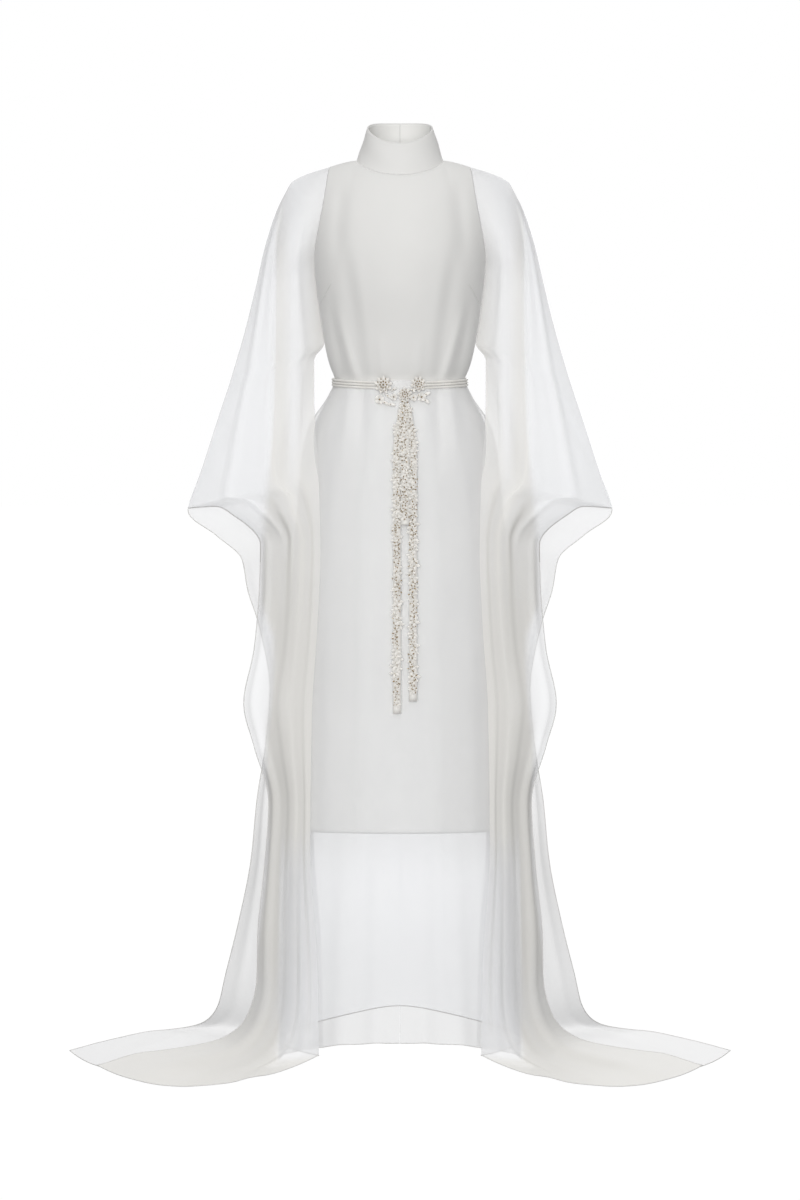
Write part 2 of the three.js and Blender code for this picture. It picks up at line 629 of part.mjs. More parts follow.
// A pointed leaf that lies as a flower does.
function leaf(long, thick, x, y, z, turn) {
  const outline = new THREE.Shape();
  outline.moveTo(0, long);
  for (const [dx, dz] of [[0.34, 0.35], [0.34, -0.35], [0, -1], [-0.34, -0.35], [-0.34, 0.35]])
    outline.lineTo(dx * long, dz * long);
  const geometry = new THREE.ExtrudeGeometry(outline, { depth: thick, bevelEnabled: false });
  return geometry.rotateZ(turn).rotateX(Math.PI / 2).translate(x, y, z);
}

function spray(pieces) {
  const middle = pieces[1];
  const y = aroundFigure(turnAt(middle.x, middle.z, ROSETTE_CLEAR), middle.z, ROSETTE_CLEAR).y;
  return joined(
    pieces.map(({ x, z, long, turn, petals }, k) => {
      const place = [x, y - 0.4 * (k % 2), z, -degToRad(turn)];
      return solidOf(petals ? flower(long, FLOWER.thick, petals, ...place) : leaf(long, 1.8, ...place));
    }),
  );
}

// A strand: a narrow tape that hangs before the skirt, with flowers sewn along it.
function strand({ x, top, low, out }) {
  const frontY = (z) => aroundFigure(turnAt(x, z, 0), z, STRAND_CLEAR + out).y;
  const levels = spread(7, top, low);
  const tape = wall(
    levels.map((z) => [-TAPE.half, TAPE.half].map((dx) => new THREE.Vector3(x + dx, frontY(z), z))),
    TAPE.thick,
  );
  let solid = solidOf(tape);
  const count = Math.floor((top - low - TAPE.tab - 2 * FLOWER.radius) / FLOWER.pitch);
  for (let k = 0; k <= count; k += 1) {
    const z = top - FLOWER.radius - k * FLOWER.pitch;
    const sway = 1.3 * Math.sin(2.4 * k);
    const piece = flower(FLOWER.radius, FLOWER.thick, FLOWER.petals, x + sway, frontY(z) + 0.2, z, 1.1 * k);
    solid = solid.add(solidOf(piece));
  }
  return geometryOf(solid);
}

// ---- The dress ----

const finish = {
  crepe: new THREE.MeshStandardMaterial({ color: 0xe6e5e1, roughness: 0.55, metalness: 0 }),
  sheer: new THREE.MeshStandardMaterial({ color: 0xeeedea, roughness: 0.7, metalness: 0, transparent: true, opacity: 0.5 }),
  cord: new THREE.MeshStandardMaterial({ color: 0xdcd5cb, roughness: 0.5, metalness: 0 }),
  flower: new THREE.MeshStandardMaterial({ color: 0xe9e2d6, roughness: 0.35, metalness: 0 }),
};

const dress = new THREE.Group();

function add(name, geometry, material) {
  const mesh = new THREE.Mesh(geometry, material);
  mesh.name = name;
  dress.add(mesh);
}

add("collar", collar(), finish.crepe);
add("crepe_front", crepeFront(), finish.crepe);
add("sheer_front", sheerFront(), finish.sheer);
for (const [hand, side] of [["left", -1], ["right", 1]]) {
  add(`crepe_back_${hand}`, crepeBack(side), finish.crepe);
  add(`sheer_back_${hand}`, sheerBack(side), finish.sheer);
  add(`wing_front_${hand}`, wing(side, -1), finish.sheer);
  add(`wing_back_${hand}`, wing(side, 1), finish.sheer);
}
add("belt_band", beltBand(), finish.cord);
for (const place of ROSETTES) add(place.name, rosette(place), finish.flower);
add("spray_left", spray(SPRAY_LEFT), finish.flower);
add("spray_right", spray(SPRAY_RIGHT), finish.flower);
for (const place of STRANDS) add(place.name, strand(place), finish.flower);

export default dress;
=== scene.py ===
"""A floor-length kaftan dress, filled out as if worn: its cloth, hems, seams, belt and flowers.

Lengths in the tables are millimetres in the part's frame: +Z up, the front facing -Y, the origin at the neck.
Where a function takes facing, it is -1 for the front and 1 for the back.
"""

import json
import math

import bpy
import numpy as np
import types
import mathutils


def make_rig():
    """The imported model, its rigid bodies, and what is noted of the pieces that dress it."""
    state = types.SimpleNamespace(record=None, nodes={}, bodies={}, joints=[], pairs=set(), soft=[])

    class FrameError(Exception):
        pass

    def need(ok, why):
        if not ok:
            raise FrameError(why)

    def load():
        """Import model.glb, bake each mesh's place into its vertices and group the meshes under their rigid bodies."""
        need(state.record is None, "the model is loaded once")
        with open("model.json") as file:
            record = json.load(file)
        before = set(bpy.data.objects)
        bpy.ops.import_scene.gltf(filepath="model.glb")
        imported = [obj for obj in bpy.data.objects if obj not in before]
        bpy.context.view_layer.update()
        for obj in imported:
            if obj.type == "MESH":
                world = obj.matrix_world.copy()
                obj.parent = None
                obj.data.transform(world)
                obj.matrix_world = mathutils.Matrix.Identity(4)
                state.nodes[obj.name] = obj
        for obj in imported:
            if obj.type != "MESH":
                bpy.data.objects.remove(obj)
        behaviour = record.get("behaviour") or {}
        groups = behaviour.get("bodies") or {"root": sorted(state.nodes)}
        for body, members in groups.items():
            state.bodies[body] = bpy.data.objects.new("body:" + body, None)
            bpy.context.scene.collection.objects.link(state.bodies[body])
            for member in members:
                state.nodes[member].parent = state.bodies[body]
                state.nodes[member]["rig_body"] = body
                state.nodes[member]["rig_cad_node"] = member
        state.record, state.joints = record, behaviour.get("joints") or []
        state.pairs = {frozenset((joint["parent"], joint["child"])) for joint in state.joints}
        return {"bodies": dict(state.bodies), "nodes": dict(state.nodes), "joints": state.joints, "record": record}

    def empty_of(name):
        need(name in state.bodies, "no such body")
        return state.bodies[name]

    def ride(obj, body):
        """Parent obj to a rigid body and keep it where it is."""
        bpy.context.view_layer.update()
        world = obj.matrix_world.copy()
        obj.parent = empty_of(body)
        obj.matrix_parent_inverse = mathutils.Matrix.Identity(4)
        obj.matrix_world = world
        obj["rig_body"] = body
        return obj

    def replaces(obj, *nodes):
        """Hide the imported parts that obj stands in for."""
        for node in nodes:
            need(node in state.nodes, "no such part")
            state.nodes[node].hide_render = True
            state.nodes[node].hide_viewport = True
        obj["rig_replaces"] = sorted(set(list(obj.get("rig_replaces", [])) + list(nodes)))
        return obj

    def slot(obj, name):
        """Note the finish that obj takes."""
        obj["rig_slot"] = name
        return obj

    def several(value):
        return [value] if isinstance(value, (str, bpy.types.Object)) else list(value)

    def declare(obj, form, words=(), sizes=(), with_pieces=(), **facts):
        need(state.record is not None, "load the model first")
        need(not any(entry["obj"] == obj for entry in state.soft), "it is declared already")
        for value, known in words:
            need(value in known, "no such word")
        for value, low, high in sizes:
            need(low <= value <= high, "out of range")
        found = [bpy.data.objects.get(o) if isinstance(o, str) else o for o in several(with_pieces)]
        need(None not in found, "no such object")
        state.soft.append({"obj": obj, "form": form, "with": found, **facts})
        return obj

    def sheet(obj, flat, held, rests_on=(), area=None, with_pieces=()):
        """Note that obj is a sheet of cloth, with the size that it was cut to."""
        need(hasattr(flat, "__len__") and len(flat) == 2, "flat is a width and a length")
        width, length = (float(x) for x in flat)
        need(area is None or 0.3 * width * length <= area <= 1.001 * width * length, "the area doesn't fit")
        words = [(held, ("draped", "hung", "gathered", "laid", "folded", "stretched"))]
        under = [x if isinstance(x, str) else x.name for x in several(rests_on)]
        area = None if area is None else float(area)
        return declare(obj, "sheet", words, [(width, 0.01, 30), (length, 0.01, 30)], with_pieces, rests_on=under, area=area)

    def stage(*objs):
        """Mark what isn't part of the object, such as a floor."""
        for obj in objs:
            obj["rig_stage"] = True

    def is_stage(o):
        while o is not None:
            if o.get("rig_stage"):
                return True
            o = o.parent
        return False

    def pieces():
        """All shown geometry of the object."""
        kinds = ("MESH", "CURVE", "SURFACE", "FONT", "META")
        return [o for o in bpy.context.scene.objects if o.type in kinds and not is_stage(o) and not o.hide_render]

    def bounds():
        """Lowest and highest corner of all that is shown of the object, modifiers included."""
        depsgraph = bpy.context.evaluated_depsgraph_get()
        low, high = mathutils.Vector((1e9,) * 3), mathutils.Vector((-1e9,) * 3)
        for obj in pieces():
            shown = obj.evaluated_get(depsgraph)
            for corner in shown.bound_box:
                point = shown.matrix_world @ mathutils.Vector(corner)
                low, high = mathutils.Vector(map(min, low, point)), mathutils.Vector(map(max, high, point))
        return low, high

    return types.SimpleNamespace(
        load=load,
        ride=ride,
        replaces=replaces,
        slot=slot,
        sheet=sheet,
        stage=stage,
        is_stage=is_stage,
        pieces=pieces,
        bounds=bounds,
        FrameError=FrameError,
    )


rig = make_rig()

bl_info = {
    "name": "Kaftan dress",
    "version": (1, 0, 0),
    "blender": (4, 5, 0),
    "location": "3D View > Sidebar > Kaftan",
    "description": "Makes the cloth, hems, seams, belt and flowers of a kaftan dress",
    "category": "Add Mesh",
}

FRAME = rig.load()
CAD_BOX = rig.bounds()
MM = 0.001
SIDES = (("left", -1), ("right", 1))


def table(columns, *rows):
    """Rows of values under named columns."""
    return [dict(zip(columns.split(), row)) for row in rows]


# ---- Sizes that the cloth shares with the solids, in millimetres ----

FLOOR = -1491
HEM = -1105
HEM_RISE = {-1: 10, 1: 4}  # how far the crepe's hem rises to its middle, front and back
HEM_FROM = -1000  # where the crepe's rows begin to follow its hem
WAIST = -361
BELT_TOP = -340
BELT_DIP = 10
WING_LEAVES = -300
FREE_EDGE = 141
SHOULDER = {"x": 115, "y": 3, "z": -12, "apart": 0.6}
NECK_SHARE = 0.62
CHEST = -60
NECK_DROP = {"crepe": 1.3, "collar": 1.8}  # how far the crepe and the collar start below the neck's ring
PASSES = {"crepe": 70, "wing": 120}  # of smoothing, over the bodice and over the sleeves

# The figure inside: half its width, its depth before and behind the side seam, and where an armhole or the
# side seam cuts the panel.
FIGURE = table(
    "z half front back edge",
    (-60, 146, 80, 76, 121),
    (-110, 147, 99, 86, 132),
    (-168, 142, 114, 88, 142),
    (-215, 136, 113, 86, 136),
    (-270, 129, 99, 82, 129),
    (-330, 118, 89, 78, 118),
    (-363, 106, 80, 74, 106),
    (-385, 115, 84, 80, 115),
    (-426, 134, 95, 98, 134),
    (-480, 147, 106, 112, 147),
    (-548, 154, 113, 120, 154),
    (-694, 165, 121, 127, 165),
    (-900, 170, 124, 128, 170),
    (-1117, 176, 130, 132, 176),
    (-1300, 186, 136, 138, 186),
    (-1491, 198, 140, 146, 198),
)
NECK = {"half": 70, "y": 3, "deep": 62, "heights": (-28, 0, 12)}
COLLAR_TOP = {"half": 53, "y": 8, "deep": 53, "heights": (22, 52, 65)}
LAYERS = {"skirt": (5, 1.5), "turned": (12.5, 2.7), "lapped": (17, 4.2)}
LAP = table(
    "z x",
    (-400, 141),
    (-450, 138),
    (-548, 131),
    (-640, 129),
    (-762, 134),
    (-900, 143),
    (-1117, 146),
    (-1320, 134),
    (-1491, 131),
)
SHEER_HEM = {"centre": -1372, "side": -1448, "corner": -1458}
HEM_ARCH = 0.16  # how flat the skirt's front hem is at its middle
TURN_UP = 4.2
SIDE_TURN = 84
SKIRT_COLUMNS = 60
REST = {"front": 5.5, "back": 0.8}
SEAM_GAP = {"x": 0.7, "y": 0.9}  # from the crepe's edge and from the side seams' plane to the wings' cloth
JOINED_ROWS = 10  # the sections whose outer edges are joined, front to back
KNEE_ROW = 12.4  # where the wrist's hem ends, in sections; its dark colour is painted shade of the cloth's fold at the wrist

# The wings' sections from the shoulder to the train's tip: the height on the inner edge, the outer edge's
# point, the bulge, the share of it near the body, and how soon the section falls to its outer height. The
# front and the back share the sleeve's sections.
WING_COLUMNS = "inner x y z bow early drop"
SLEEVE = (
    (-12, 181, 0, -41, 6, 1, 0.62),
    (-58, 203, 0, -85, 22, 1, 0.7),
    (-110, 221, 0, -140, 34, 1, 0.85),
    (-168, 237, 0, -208, 44, 1, 1),
    (-240, 255, 0, -280, 46, 1, 1),
    (-299, 272, 0, -338, 44, 1, 1),
    (-313, 280, 0, -364, 42, 1, 1),
    (-380, 302, 0, -430, 40, 1, 1),
    (-450, 327, 0, -507, 30, 1, 1),
)
WING_FRONT = table(
    WING_COLUMNS,
    *SLEEVE,
    (-510, 350, 0, -571, 22, 1, 1),
    (-545, 304, 12, -568, 18, 1, 1),
    (-575, 270, 20, -585, 14, 1, 1),
    (-620, 229, 24, -630, 12, 1, 1),
    (-700, 231, 22, -700, 12, 1, 1),
    (-800, 240, 16, -800, 12, 1, 1),
    (-892, 258, 12, -892, 12, 1, 1),
    (-965, 241, 12, -965, 12, 1, 1),
    (-1058, 217, 12, -1058, 12, 1, 1),
    (-1170, 225, 8, -1170, 14, 1, 1),
    (-1285, 236, 4, -1275, 18, 1, 1),
    (-1370, 238, -4, -1352, 30, 1, 1),
    (-1415, 256, -20, -1420, 62, 0.8, 1.2),
    (-1440, 304, -40, -1462, 132, 0.6, 1.9),
    (-1451, 424, -34, -1482, 205, 0.5, 3),
    (-1456, 497, 60, -1486, 262, 0.4, 5),
)
WING_BACK = table(
    WING_COLUMNS,
    *SLEEVE,
    (-510, 350, 0, -574, 22, 1, 1),
    (-560, 304, 12, -616, 18, 1, 1),
    (-625, 262, 20, -656, 14, 1, 1),
    (-695, 253, 24, -706, 12, 1, 1),
    (-770, 233, 24, -770, 12, 1, 1),
    (-870, 216, 24, -870, 12, 1, 1),
    (-960, 223, 20, -960, 12, 1, 1),
    (-1056, 238, 18, -1056, 12, 1, 1),
    (-1155, 248, 20, -1155, 14, 1, 1),
    (-1260, 268, 32, -1255, 18, 1, 1),
    (-1370, 292, 62, -1350, 22, 1, 1),
    (-1440, 312, 122, -1424, 24, 1, 1.2),
    (-1472, 350, 206, -1468, 6, 0.5, 2),
    (-1486, 424, 246, -1486, -90, 0, 3),
    (-1489, 500, 176, -1489, -250, 0, 4),
    (-1490, 559, 88, -1490, -440, 0, 6),
)

# How far out from the centre the front wings are gathered, and how much.
GATHERS = table(
    "z x full",
    (0, 203, 0.3),
    (-90, 203, 0.45),
    (-180, 203, 0.72),
    (-440, 208, 0.8),
    (-541, 218, 0.8),
    (-657, 228, 0.86),
    (-723, 229, 0.9),
    (-789, 208, 1),
    (-855, 210, 1),
    (-987, 221, 1),
    (-1119, 220, 1),
    (-1251, 232, 0.96),
    (-1383, 264, 0.74),
    (-1430, 330, 0.86),
    (-1491, 540, 0.95),
)
# How the sleeve's plies lie across it at its fold and inwards, beside what its gathers hold.
SLEEVE_PLIES = table(
    "x share",
    (136, 1.1),
    (150, 0.85),
    (165, 0.55),
    (174, 0.5),
    (184, 0.85),
    (196, 1.1),
    (205, 1.1),
)
# Where the front wings' plies thin out over the skirt's turned-back part: from above, from below and across.
THINNED = {"above": (-1060, -1190), "below": (-1464, -1452), "across": (204, 192), "by": 0.6}
# The skirt's plies by turn at the front, thinned below the knee as the wings are, and by height at the back.
SKIRT_PLIES = {"first": 0.26, "from": (8, 30), "second": 0.24, "then": (44, 62), "thinned": 0.8}
BACK_PLIES = {"full": 0.38, "from": (-1180, -1400)}
BACK_GATHERS = table(
    "z full",
    (0, 0.04),
    (-500, 0.04),
    (-620, 0.28),
    (-1000, 0.32),
    (-1140, 0.5),
    (-1330, 0.4),
    (-1420, 0.4),
    (-1491, 0.44),
)
# Soft folds in a wing: where across it each one runs at its first and last section, from 0 at the body to 1
# at the outer edge, its width and its height.
WING_RIDGES = table(
    "from to start end wide high",
    (1, 12, 0.9, 0.62, 0.05, 4),
    (2, 11, 0.32, 0.1, 0.07, 4),
    (6, 13, 0.14, 0.5, 0.07, 2),
    (6, 12, 0.1, 0.36, 0.06, 2),
    (11, 17, 0.9, 0.8, 0.06, 2),
    (13, 24, 0.86, 0.82, 0.06, 3),
    (18, 25, 0.22, 0.3, 0.06, 4),
)
# Folds where the cloth doubles back over itself: over is how far, as a share of the width of the fold, and
# way is the side that it doubles to.
CARRIED = 1.65  # how far a pleat carries its cloth for each width of overlap
FRONT_PLEATS = table(
    "from to start end wide over high way",
    (0.6, 11, 0.93, 0.2, 0.03, 0.25, 2, 1),
    (5.4, 22, 0.12, 0.14, 0.05, 0.2, 1.4, -1),
    (7, 24, 0.26, 0.34, 0.07, 0.2, 1.6, 1),
    (9, 25, 0.46, 0.55, 0.08, 0.15, 1.5, -1),
    (12, 24.5, 0.7, 0.74, 0.08, 0.2, 1.6, 1),
)
BACK_PLEATS = table(
    "from to start end wide over high way",
    (1, 12, 0.75, 0.4, 0.04, 0.3, 3, 1),
    (4, 22, 0.14, 0.14, 0.05, 0.3, 2.4, -1),
    (9, 24, 0.32, 0.36, 0.06, 0.3, 2.4, 1),
    (12, 24.5, 0.56, 0.58, 0.06, 0.3, 2.4, -1),
)

# Folds in the crepe front: the path's ends by distance from the centre and height, how it bends, its width
# and its height.
CREPE_FOLDS = table(
    "x0 z0 x1 z1 bend wide high",
    (98, -120, 59, -354, 0.9, 14, -3.4),
    (80, -130, 49, -354, 0.8, 11, 1.8),
    (104, -230, 73, -354, 1.4, 8, 4),
    (114, -215, 92, -354, 1.2, 10, -4.5),
    (34, -285, 28, -354, 1, 9, 2),
    (91, -20, 106, -180, 1, 13, -4),
    (60, -370, 65, -540, 1, 8, -3),
    (82, -372, 96, -520, 1, 10, 3.5),
    (40, -372, 34, -520, 1, 12, 2.5),
)
DART = {"x": (130, 112), "z": (-236, -206), "radius": 0.35, "clear": 0.4}
SKIRT_FOLDS = table(
    "turn wide high",
    (20, 6, 2.4),
    (42, 6, 1.8),
    (64, 5, 1.4),
    (112, 7, 6),
    (128, 5, 7),
    (150, 6, 7),
    (168, 4, 5),
)

ROSETTES = table(
    "name x z radius turn",
    ("left", -27, -370, 14.5, 0),
    ("right", 30, -369, 13, 0.3),
    ("middle", 8, -386, 12, 0.6),
)
SPRAYS = {
    "left": table(
        "x z long turn petals",
        (-33, -394, 7.5, 0, 5),
        (-25, -399, 8, 118, 0),
        (-15, -402, 8, 98, 0),
        (-11, -378, 6, 60, 0),
        (-10, -390, 5.5, 20, 5),
        (-20, -388, 6, 130, 0),
    ),
    "right": table(
        "x z long turn petals",
        (35, -390, 7, 0, 5),
        (42, -386, 8, 62, 0),
        (41, -395, 8, 130, 0),
        (20, -379, 5.5, 120, 0),
        (22, -391, 5.5, 20, 5),
        (30, -387, 5.5, 60, 0),
    ),
}
STRANDS = table(
    "name x top low out",
    ("left", -5, -408, -900, 0),
    ("right", 21, -408, -880, 0),
    ("middle", 8, -400, -596, 3),
)
# A rosette's two rings of petals and two of beads, as shares of its radius, and how far each stands out.
PETAL_RINGS = table(
    "petals radius width cup turn out",
    (9, 1, 0.48, 1.6, 0, 0),
    (7, 0.62, 0.4, 1.8, 0.3, 1.6),
)
BEAD_RINGS = table("at radius turn out", (0.36, 0.1, 0, 3.2), (0.66, 0.07, math.pi / 8, 1.9))
BELT = {"cord": 4.4, "cords": 3, "clear": 5, "sunk": 0.4}
ROSETTE_CLEAR = 8.4
STRAND_CLEAR = 9.5
TAPE_TAB = 12
TAPE_HALF = 6.5
PETAL_THICK = 0.35
GOLD_AND_SHADE_STROKES = (0.4, 2.5, 4.3)  # the turns of the gold strokes in a small flower: gold specks, and painted shade in the strand's darker gaps

SOFTBOXES = table(
    "name place share",
    ("front light", (-0.3, -5.8, 0), 1),
    ("back light", (0.6, 5.8, 0.3), 0.7),
)
SOFTBOX_AIM = (0, 0, -0.75)
SOFTBOX_SIZE = 2.4
LENS = {"sensor": 36, "focal": 90.9}


# ---- Shape tools ----


def read(lines, key, name, value):
    """A named column of a table at values of its key column, on a smooth curve that never overshoots."""
    keys = np.array([line[key] for line in lines], float)
    values = np.array([line[name] for line in lines], float)
    if keys[-1] < keys[0]:
        keys, values = keys[::-1], values[::-1]
    value = np.asarray(value, float)
    step = np.diff(keys)
    rise = np.diff(values) / step
    before, after = np.r_[rise[0], rise], np.r_[rise, rise[-1]]
    with np.errstate(divide="ignore", invalid="ignore"):
        slope = np.where(before * after > 0, 2 * before * after / (before + after), 0.0)
    i = np.clip(np.searchsorted(keys, value) - 1, 0, len(step) - 1)
    t = np.clip((value - keys[i]) / step[i], 0, 1)
    ease = t * t * (3 - 2 * t)
    bend = step[i] * t * (1 - t)
    return values[i] * (1 - ease) + values[i + 1] * ease + bend * (slope[i] * (1 - t) - slope[i + 1] * t)


def fade(start, end, value):
    """Rises from 0 to 1 between two values."""
    t = np.clip((np.asarray(value, float) - start) / (end - start), 0, 1)
    return t * t * (3 - 2 * t)


def ridge(distance, wide):
    """A soft ridge: 1 along its line and falling away on both sides."""
    return np.exp(-((distance / wide) ** 2))


def mix(a, b, t):
    return a + (b - a) * t


def points(x, y, z):
    """Coordinates as an array of points."""
    return np.stack(np.broadcast_arrays(x, y, z), -1).astype(float)


def figure(name, z):
    """A measure of the figure at a height."""
    return read(FIGURE, "z", name, z)


def waist_fold(x, z):
    """How far the crepe's folds stand out of the front: full at the belt, and dying away from it."""
    x = np.abs(x)
    out = 0.0
    for f in CREPE_FOLDS:
        along = (z - f["z0"]) / (f["z1"] - f["z0"])
        at = mix(f["x0"], f["x1"], np.clip(along, 0, 1) ** f["bend"])
        if f["z0"] < WAIST:
            held = fade(-0.12, 0.08, along) * fade(1.1, 0.25, along)
        elif f["z1"] < BELT_TOP:
            held = fade(-0.1, 0.5, along) * fade(1.08, 0.98, along)
        else:
            held = fade(0, 0.4, along) * fade(1.1, 0.6, along)
        out = out + f["high"] * ridge(x - at, f["wide"]) * held
    return out


def around(turn, z, clear, folded=True):
    """A point round the figure: turn is 0 at the centre front, 90 at the side and 180 at the back."""
    angle = np.radians(turn)
    x = (figure("half", z) + clear) * np.sin(angle)
    front = -(figure("front", z) + clear) * np.cos(angle) - (waist_fold(x, z) if folded else 0)
    back = -(figure("back", z) + clear) * np.cos(angle)
    return points(x, np.where(np.cos(angle) < 0, back, front), z)


def clear_of(layer, z):
    """How far a layer stands off the figure: close under the belt and loose below it."""
    loose, belted = LAYERS[layer]
    return mix(belted, loose, fade(WAIST - 22, WAIST - 85, z))


def turn_at(x, z, clear):
    """The turn at which a layer is a distance x from the centre."""
    return np.degrees(np.arcsin(np.clip(x / (figure("half", z) + clear), -1, 1)))


def on_ring(ring, turn):
    """A point on the neck's or the collar's ring, whose height differs at its front, sides and back."""
    front, side, back = ring["heights"]
    angle = np.radians(turn)
    twice = ((front + back) / 2 - side) / 2
    z = side + twice + (front - back) / 2 * np.cos(angle) + twice * np.cos(2 * angle)
    return points(ring["half"] * np.sin(angle), ring["y"] - ring["deep"] * np.cos(angle), z)


def bezier(a, b, c, d, t):
    """Points along the curve from a to d."""
    t = np.asarray(t)[..., None]
    s = 1 - t
    return a * s**3 + 3 * b * s * s * t + 3 * c * s * t * t + d * t**3


def normals_of(grid):
    """The unit normal at each point of a grid, across by down."""
    across = np.gradient(grid, axis=1)
    down = np.gradient(grid, axis=0)
    normal = np.cross(across, down)
    return normal / np.maximum(np.linalg.norm(normal, axis=-1, keepdims=True), 1e-9)


def mirrored(grid, side):
    return grid * np.array([side, 1, 1])


def whole(half):
    """Both halves of a piece from its right one."""
    return np.concatenate([mirrored(half[:, :0:-1], -1), half], axis=1)


# ---- The cloth's surfaces ----


def crepe_top(u, facing):
    """The crepe's top edge, from the centre of the neck to the shoulder point."""
    shoulder_y = SHOULDER["y"] + facing * SHOULDER["apart"]
    drop = NECK_DROP["crepe"]
    turn = 90 * np.clip(u / NECK_SHARE, 0, 1)
    ring = on_ring(NECK, turn if facing < 0 else 180 - turn)
    t = np.clip((u - NECK_SHARE) / (1 - NECK_SHARE), 0, 1)
    y = facing * np.maximum(facing * ring[..., 1], facing * shoulder_y)
    neck = points(ring[..., 0], y, ring[..., 2] - drop)
    line = points(mix(NECK["half"], SHOULDER["x"], t), shoulder_y, mix(-drop, SHOULDER["z"], t**1.5))
    return np.where((u <= NECK_SHARE)[..., None], neck, line)


def crepe_body(u, z, facing):
    """The crepe below the chest line."""
    edge = turn_at(figure("edge", z), z, 0)
    turn = u * (edge - np.where(edge > 88, 0.2, 0))
    grid = around(turn if facing < 0 else 180 - turn, z, 0, folded=False)
    low = HEM + HEM_RISE[facing] * (1 - u * u)
    drop = mix(HEM_FROM, low, (z - HEM_FROM) / (HEM - HEM_FROM))
    grid[..., 2] = np.where(z < HEM_FROM, drop, z)
    return grid


def respaced(grid, rows):
    """The same surface with evenly spaced rows."""
    steps = np.linalg.norm(np.diff(grid, axis=0), axis=-1)
    along = np.concatenate([np.zeros((1, grid.shape[1])), np.cumsum(steps, axis=0)])
    even = np.empty((rows, grid.shape[1], 3))
    for c in range(grid.shape[1]):
        wanted = np.linspace(0, along[-1, c], rows)
        even[:, c] = np.stack([np.interp(wanted, along[:, c], grid[:, c, k]) for k in range(3)], -1)
    return even


def crepe_half(facing, across=56, rows=230):
    """Half a crepe panel as a grid of rows from the neck to the hem."""
    on_neck = np.linspace(0, NECK_SHARE, across * 5 // 8)
    on_shoulder = np.linspace(NECK_SHARE, 1, across * 3 // 8 + 1)[1:]
    u = np.concatenate([on_neck, on_shoulder])
    u = np.maximum(u, 0.0016) if facing > 0 else u
    top, chest = crepe_top(u, facing), crepe_body(u, np.full_like(u, CHEST), facing)
    upper = top + (chest - top) * np.array([0.3, 0.62, 0.12])
    lower = top + (chest - top) * np.array([0.8, 0.9, 0.6])
    over = bezier(top, upper, lower, chest, np.linspace(0, 0.98, 60)[:, None])
    levels = np.linspace(CHEST, HEM, 500)
    body = crepe_body(u[None, :], levels[:, None] + 0 * u[None, :], facing)
    grid = respaced(np.concatenate([over, body]), rows)
    z = grid[1:-1, :, 2]
    row = np.arange(1, rows - 1)[:, None]
    soften = 0.25 * fade(0, 8, row) * fade(WAIST + 4, WAIST + 70, z)
    for _ in range(PASSES["crepe"]):
        grid[1:-1, :, :2] += soften[..., None] * (grid[:-2, :, :2] + grid[2:, :, :2] - 2 * grid[1:-1, :, :2])
    if facing < 0:
        grid[..., 1] -= waist_fold(grid[..., 0], grid[..., 2]) * fade(0, 8, np.arange(rows))[:, None]
    return grid


def skirt_fold(turn, z):
    """How far the sheer skirt's folds stand out, from just below the belt down."""
    total = sum(f["high"] * ridge(turn - f["turn"], f["wide"]) for f in SKIRT_FOLDS)
    return total * fade(WAIST - 10, WAIST - 200, z)


def front_fall(turn):
    """The height of the sheer skirt's front hem, arched up at its middle."""
    arch = (np.hypot(turn / SIDE_TURN, HEM_ARCH) - HEM_ARCH) / (math.hypot(1, HEM_ARCH) - HEM_ARCH)
    return mix(SHEER_HEM["centre"], SHEER_HEM["side"], arch)


def skirt_front_half(rows=120):
    """Half the sheer skirt's front: from the centre to the side, and turned back in front of itself."""
    share = np.linspace(0, 1, rows)[:, None] ** 1.15
    top = WAIST - 2
    z = mix(top, SHEER_HEM["side"], share)
    under, over = clear_of("skirt", z), clear_of("turned", z)
    turn = np.linspace(0, SIDE_TURN, SKIRT_COLUMNS)[None, :]
    height = mix(top, front_fall(turn), share)
    main = around(turn, height, under + skirt_fold(turn, height) * (1 - (turn / SIDE_TURN) ** 6))
    bend = np.linspace(0.12, 0.88, 7)[None, :]
    out = under + (over - under) * (1 - np.cos(np.pi * bend)) / 2
    tip = around(SIDE_TURN + 2 * np.sin(np.pi * bend), z, out)
    tip[..., 0] += np.minimum(TURN_UP, (over - under) / 2) * np.sin(np.pi * bend)
    lap = np.minimum(read(LAP, "z", "x", z), figure("half", z) + over - 3)
    lap_turn = np.minimum(turn_at(lap, z, over), SIDE_TURN - 5)
    back = np.linspace(0, 1, 24)[None, :]
    ply = around(mix(SIDE_TURN, lap_turn, back), z, over + 0 * back)
    ply[..., 2] = z - (SHEER_HEM["side"] - SHEER_HEM["corner"]) * back * share**6
    ply[..., 2] += mix(top, front_fall(SIDE_TURN), share) - z
    return np.concatenate([main, tip, ply], axis=1)


def skirt_back_half(rows=120):
    """Half the sheer skirt's back, from the side to the centre seam."""
    share = np.linspace(0, 1, rows)[:, None] ** 1.1
    z = mix(WAIST - 2, FLOOR + 0.6, share)
    turn = np.linspace(92, 179.85, 84)[None, :]
    held = fade(92, 104, turn) * fade(180, 172, turn)
    return around(turn, z + 0 * turn, clear_of("skirt", z) + skirt_fold(turn, z) * held)


CREPE_EDGE = {facing: crepe_half(facing)[:, -1] for facing in (-1, 1)}


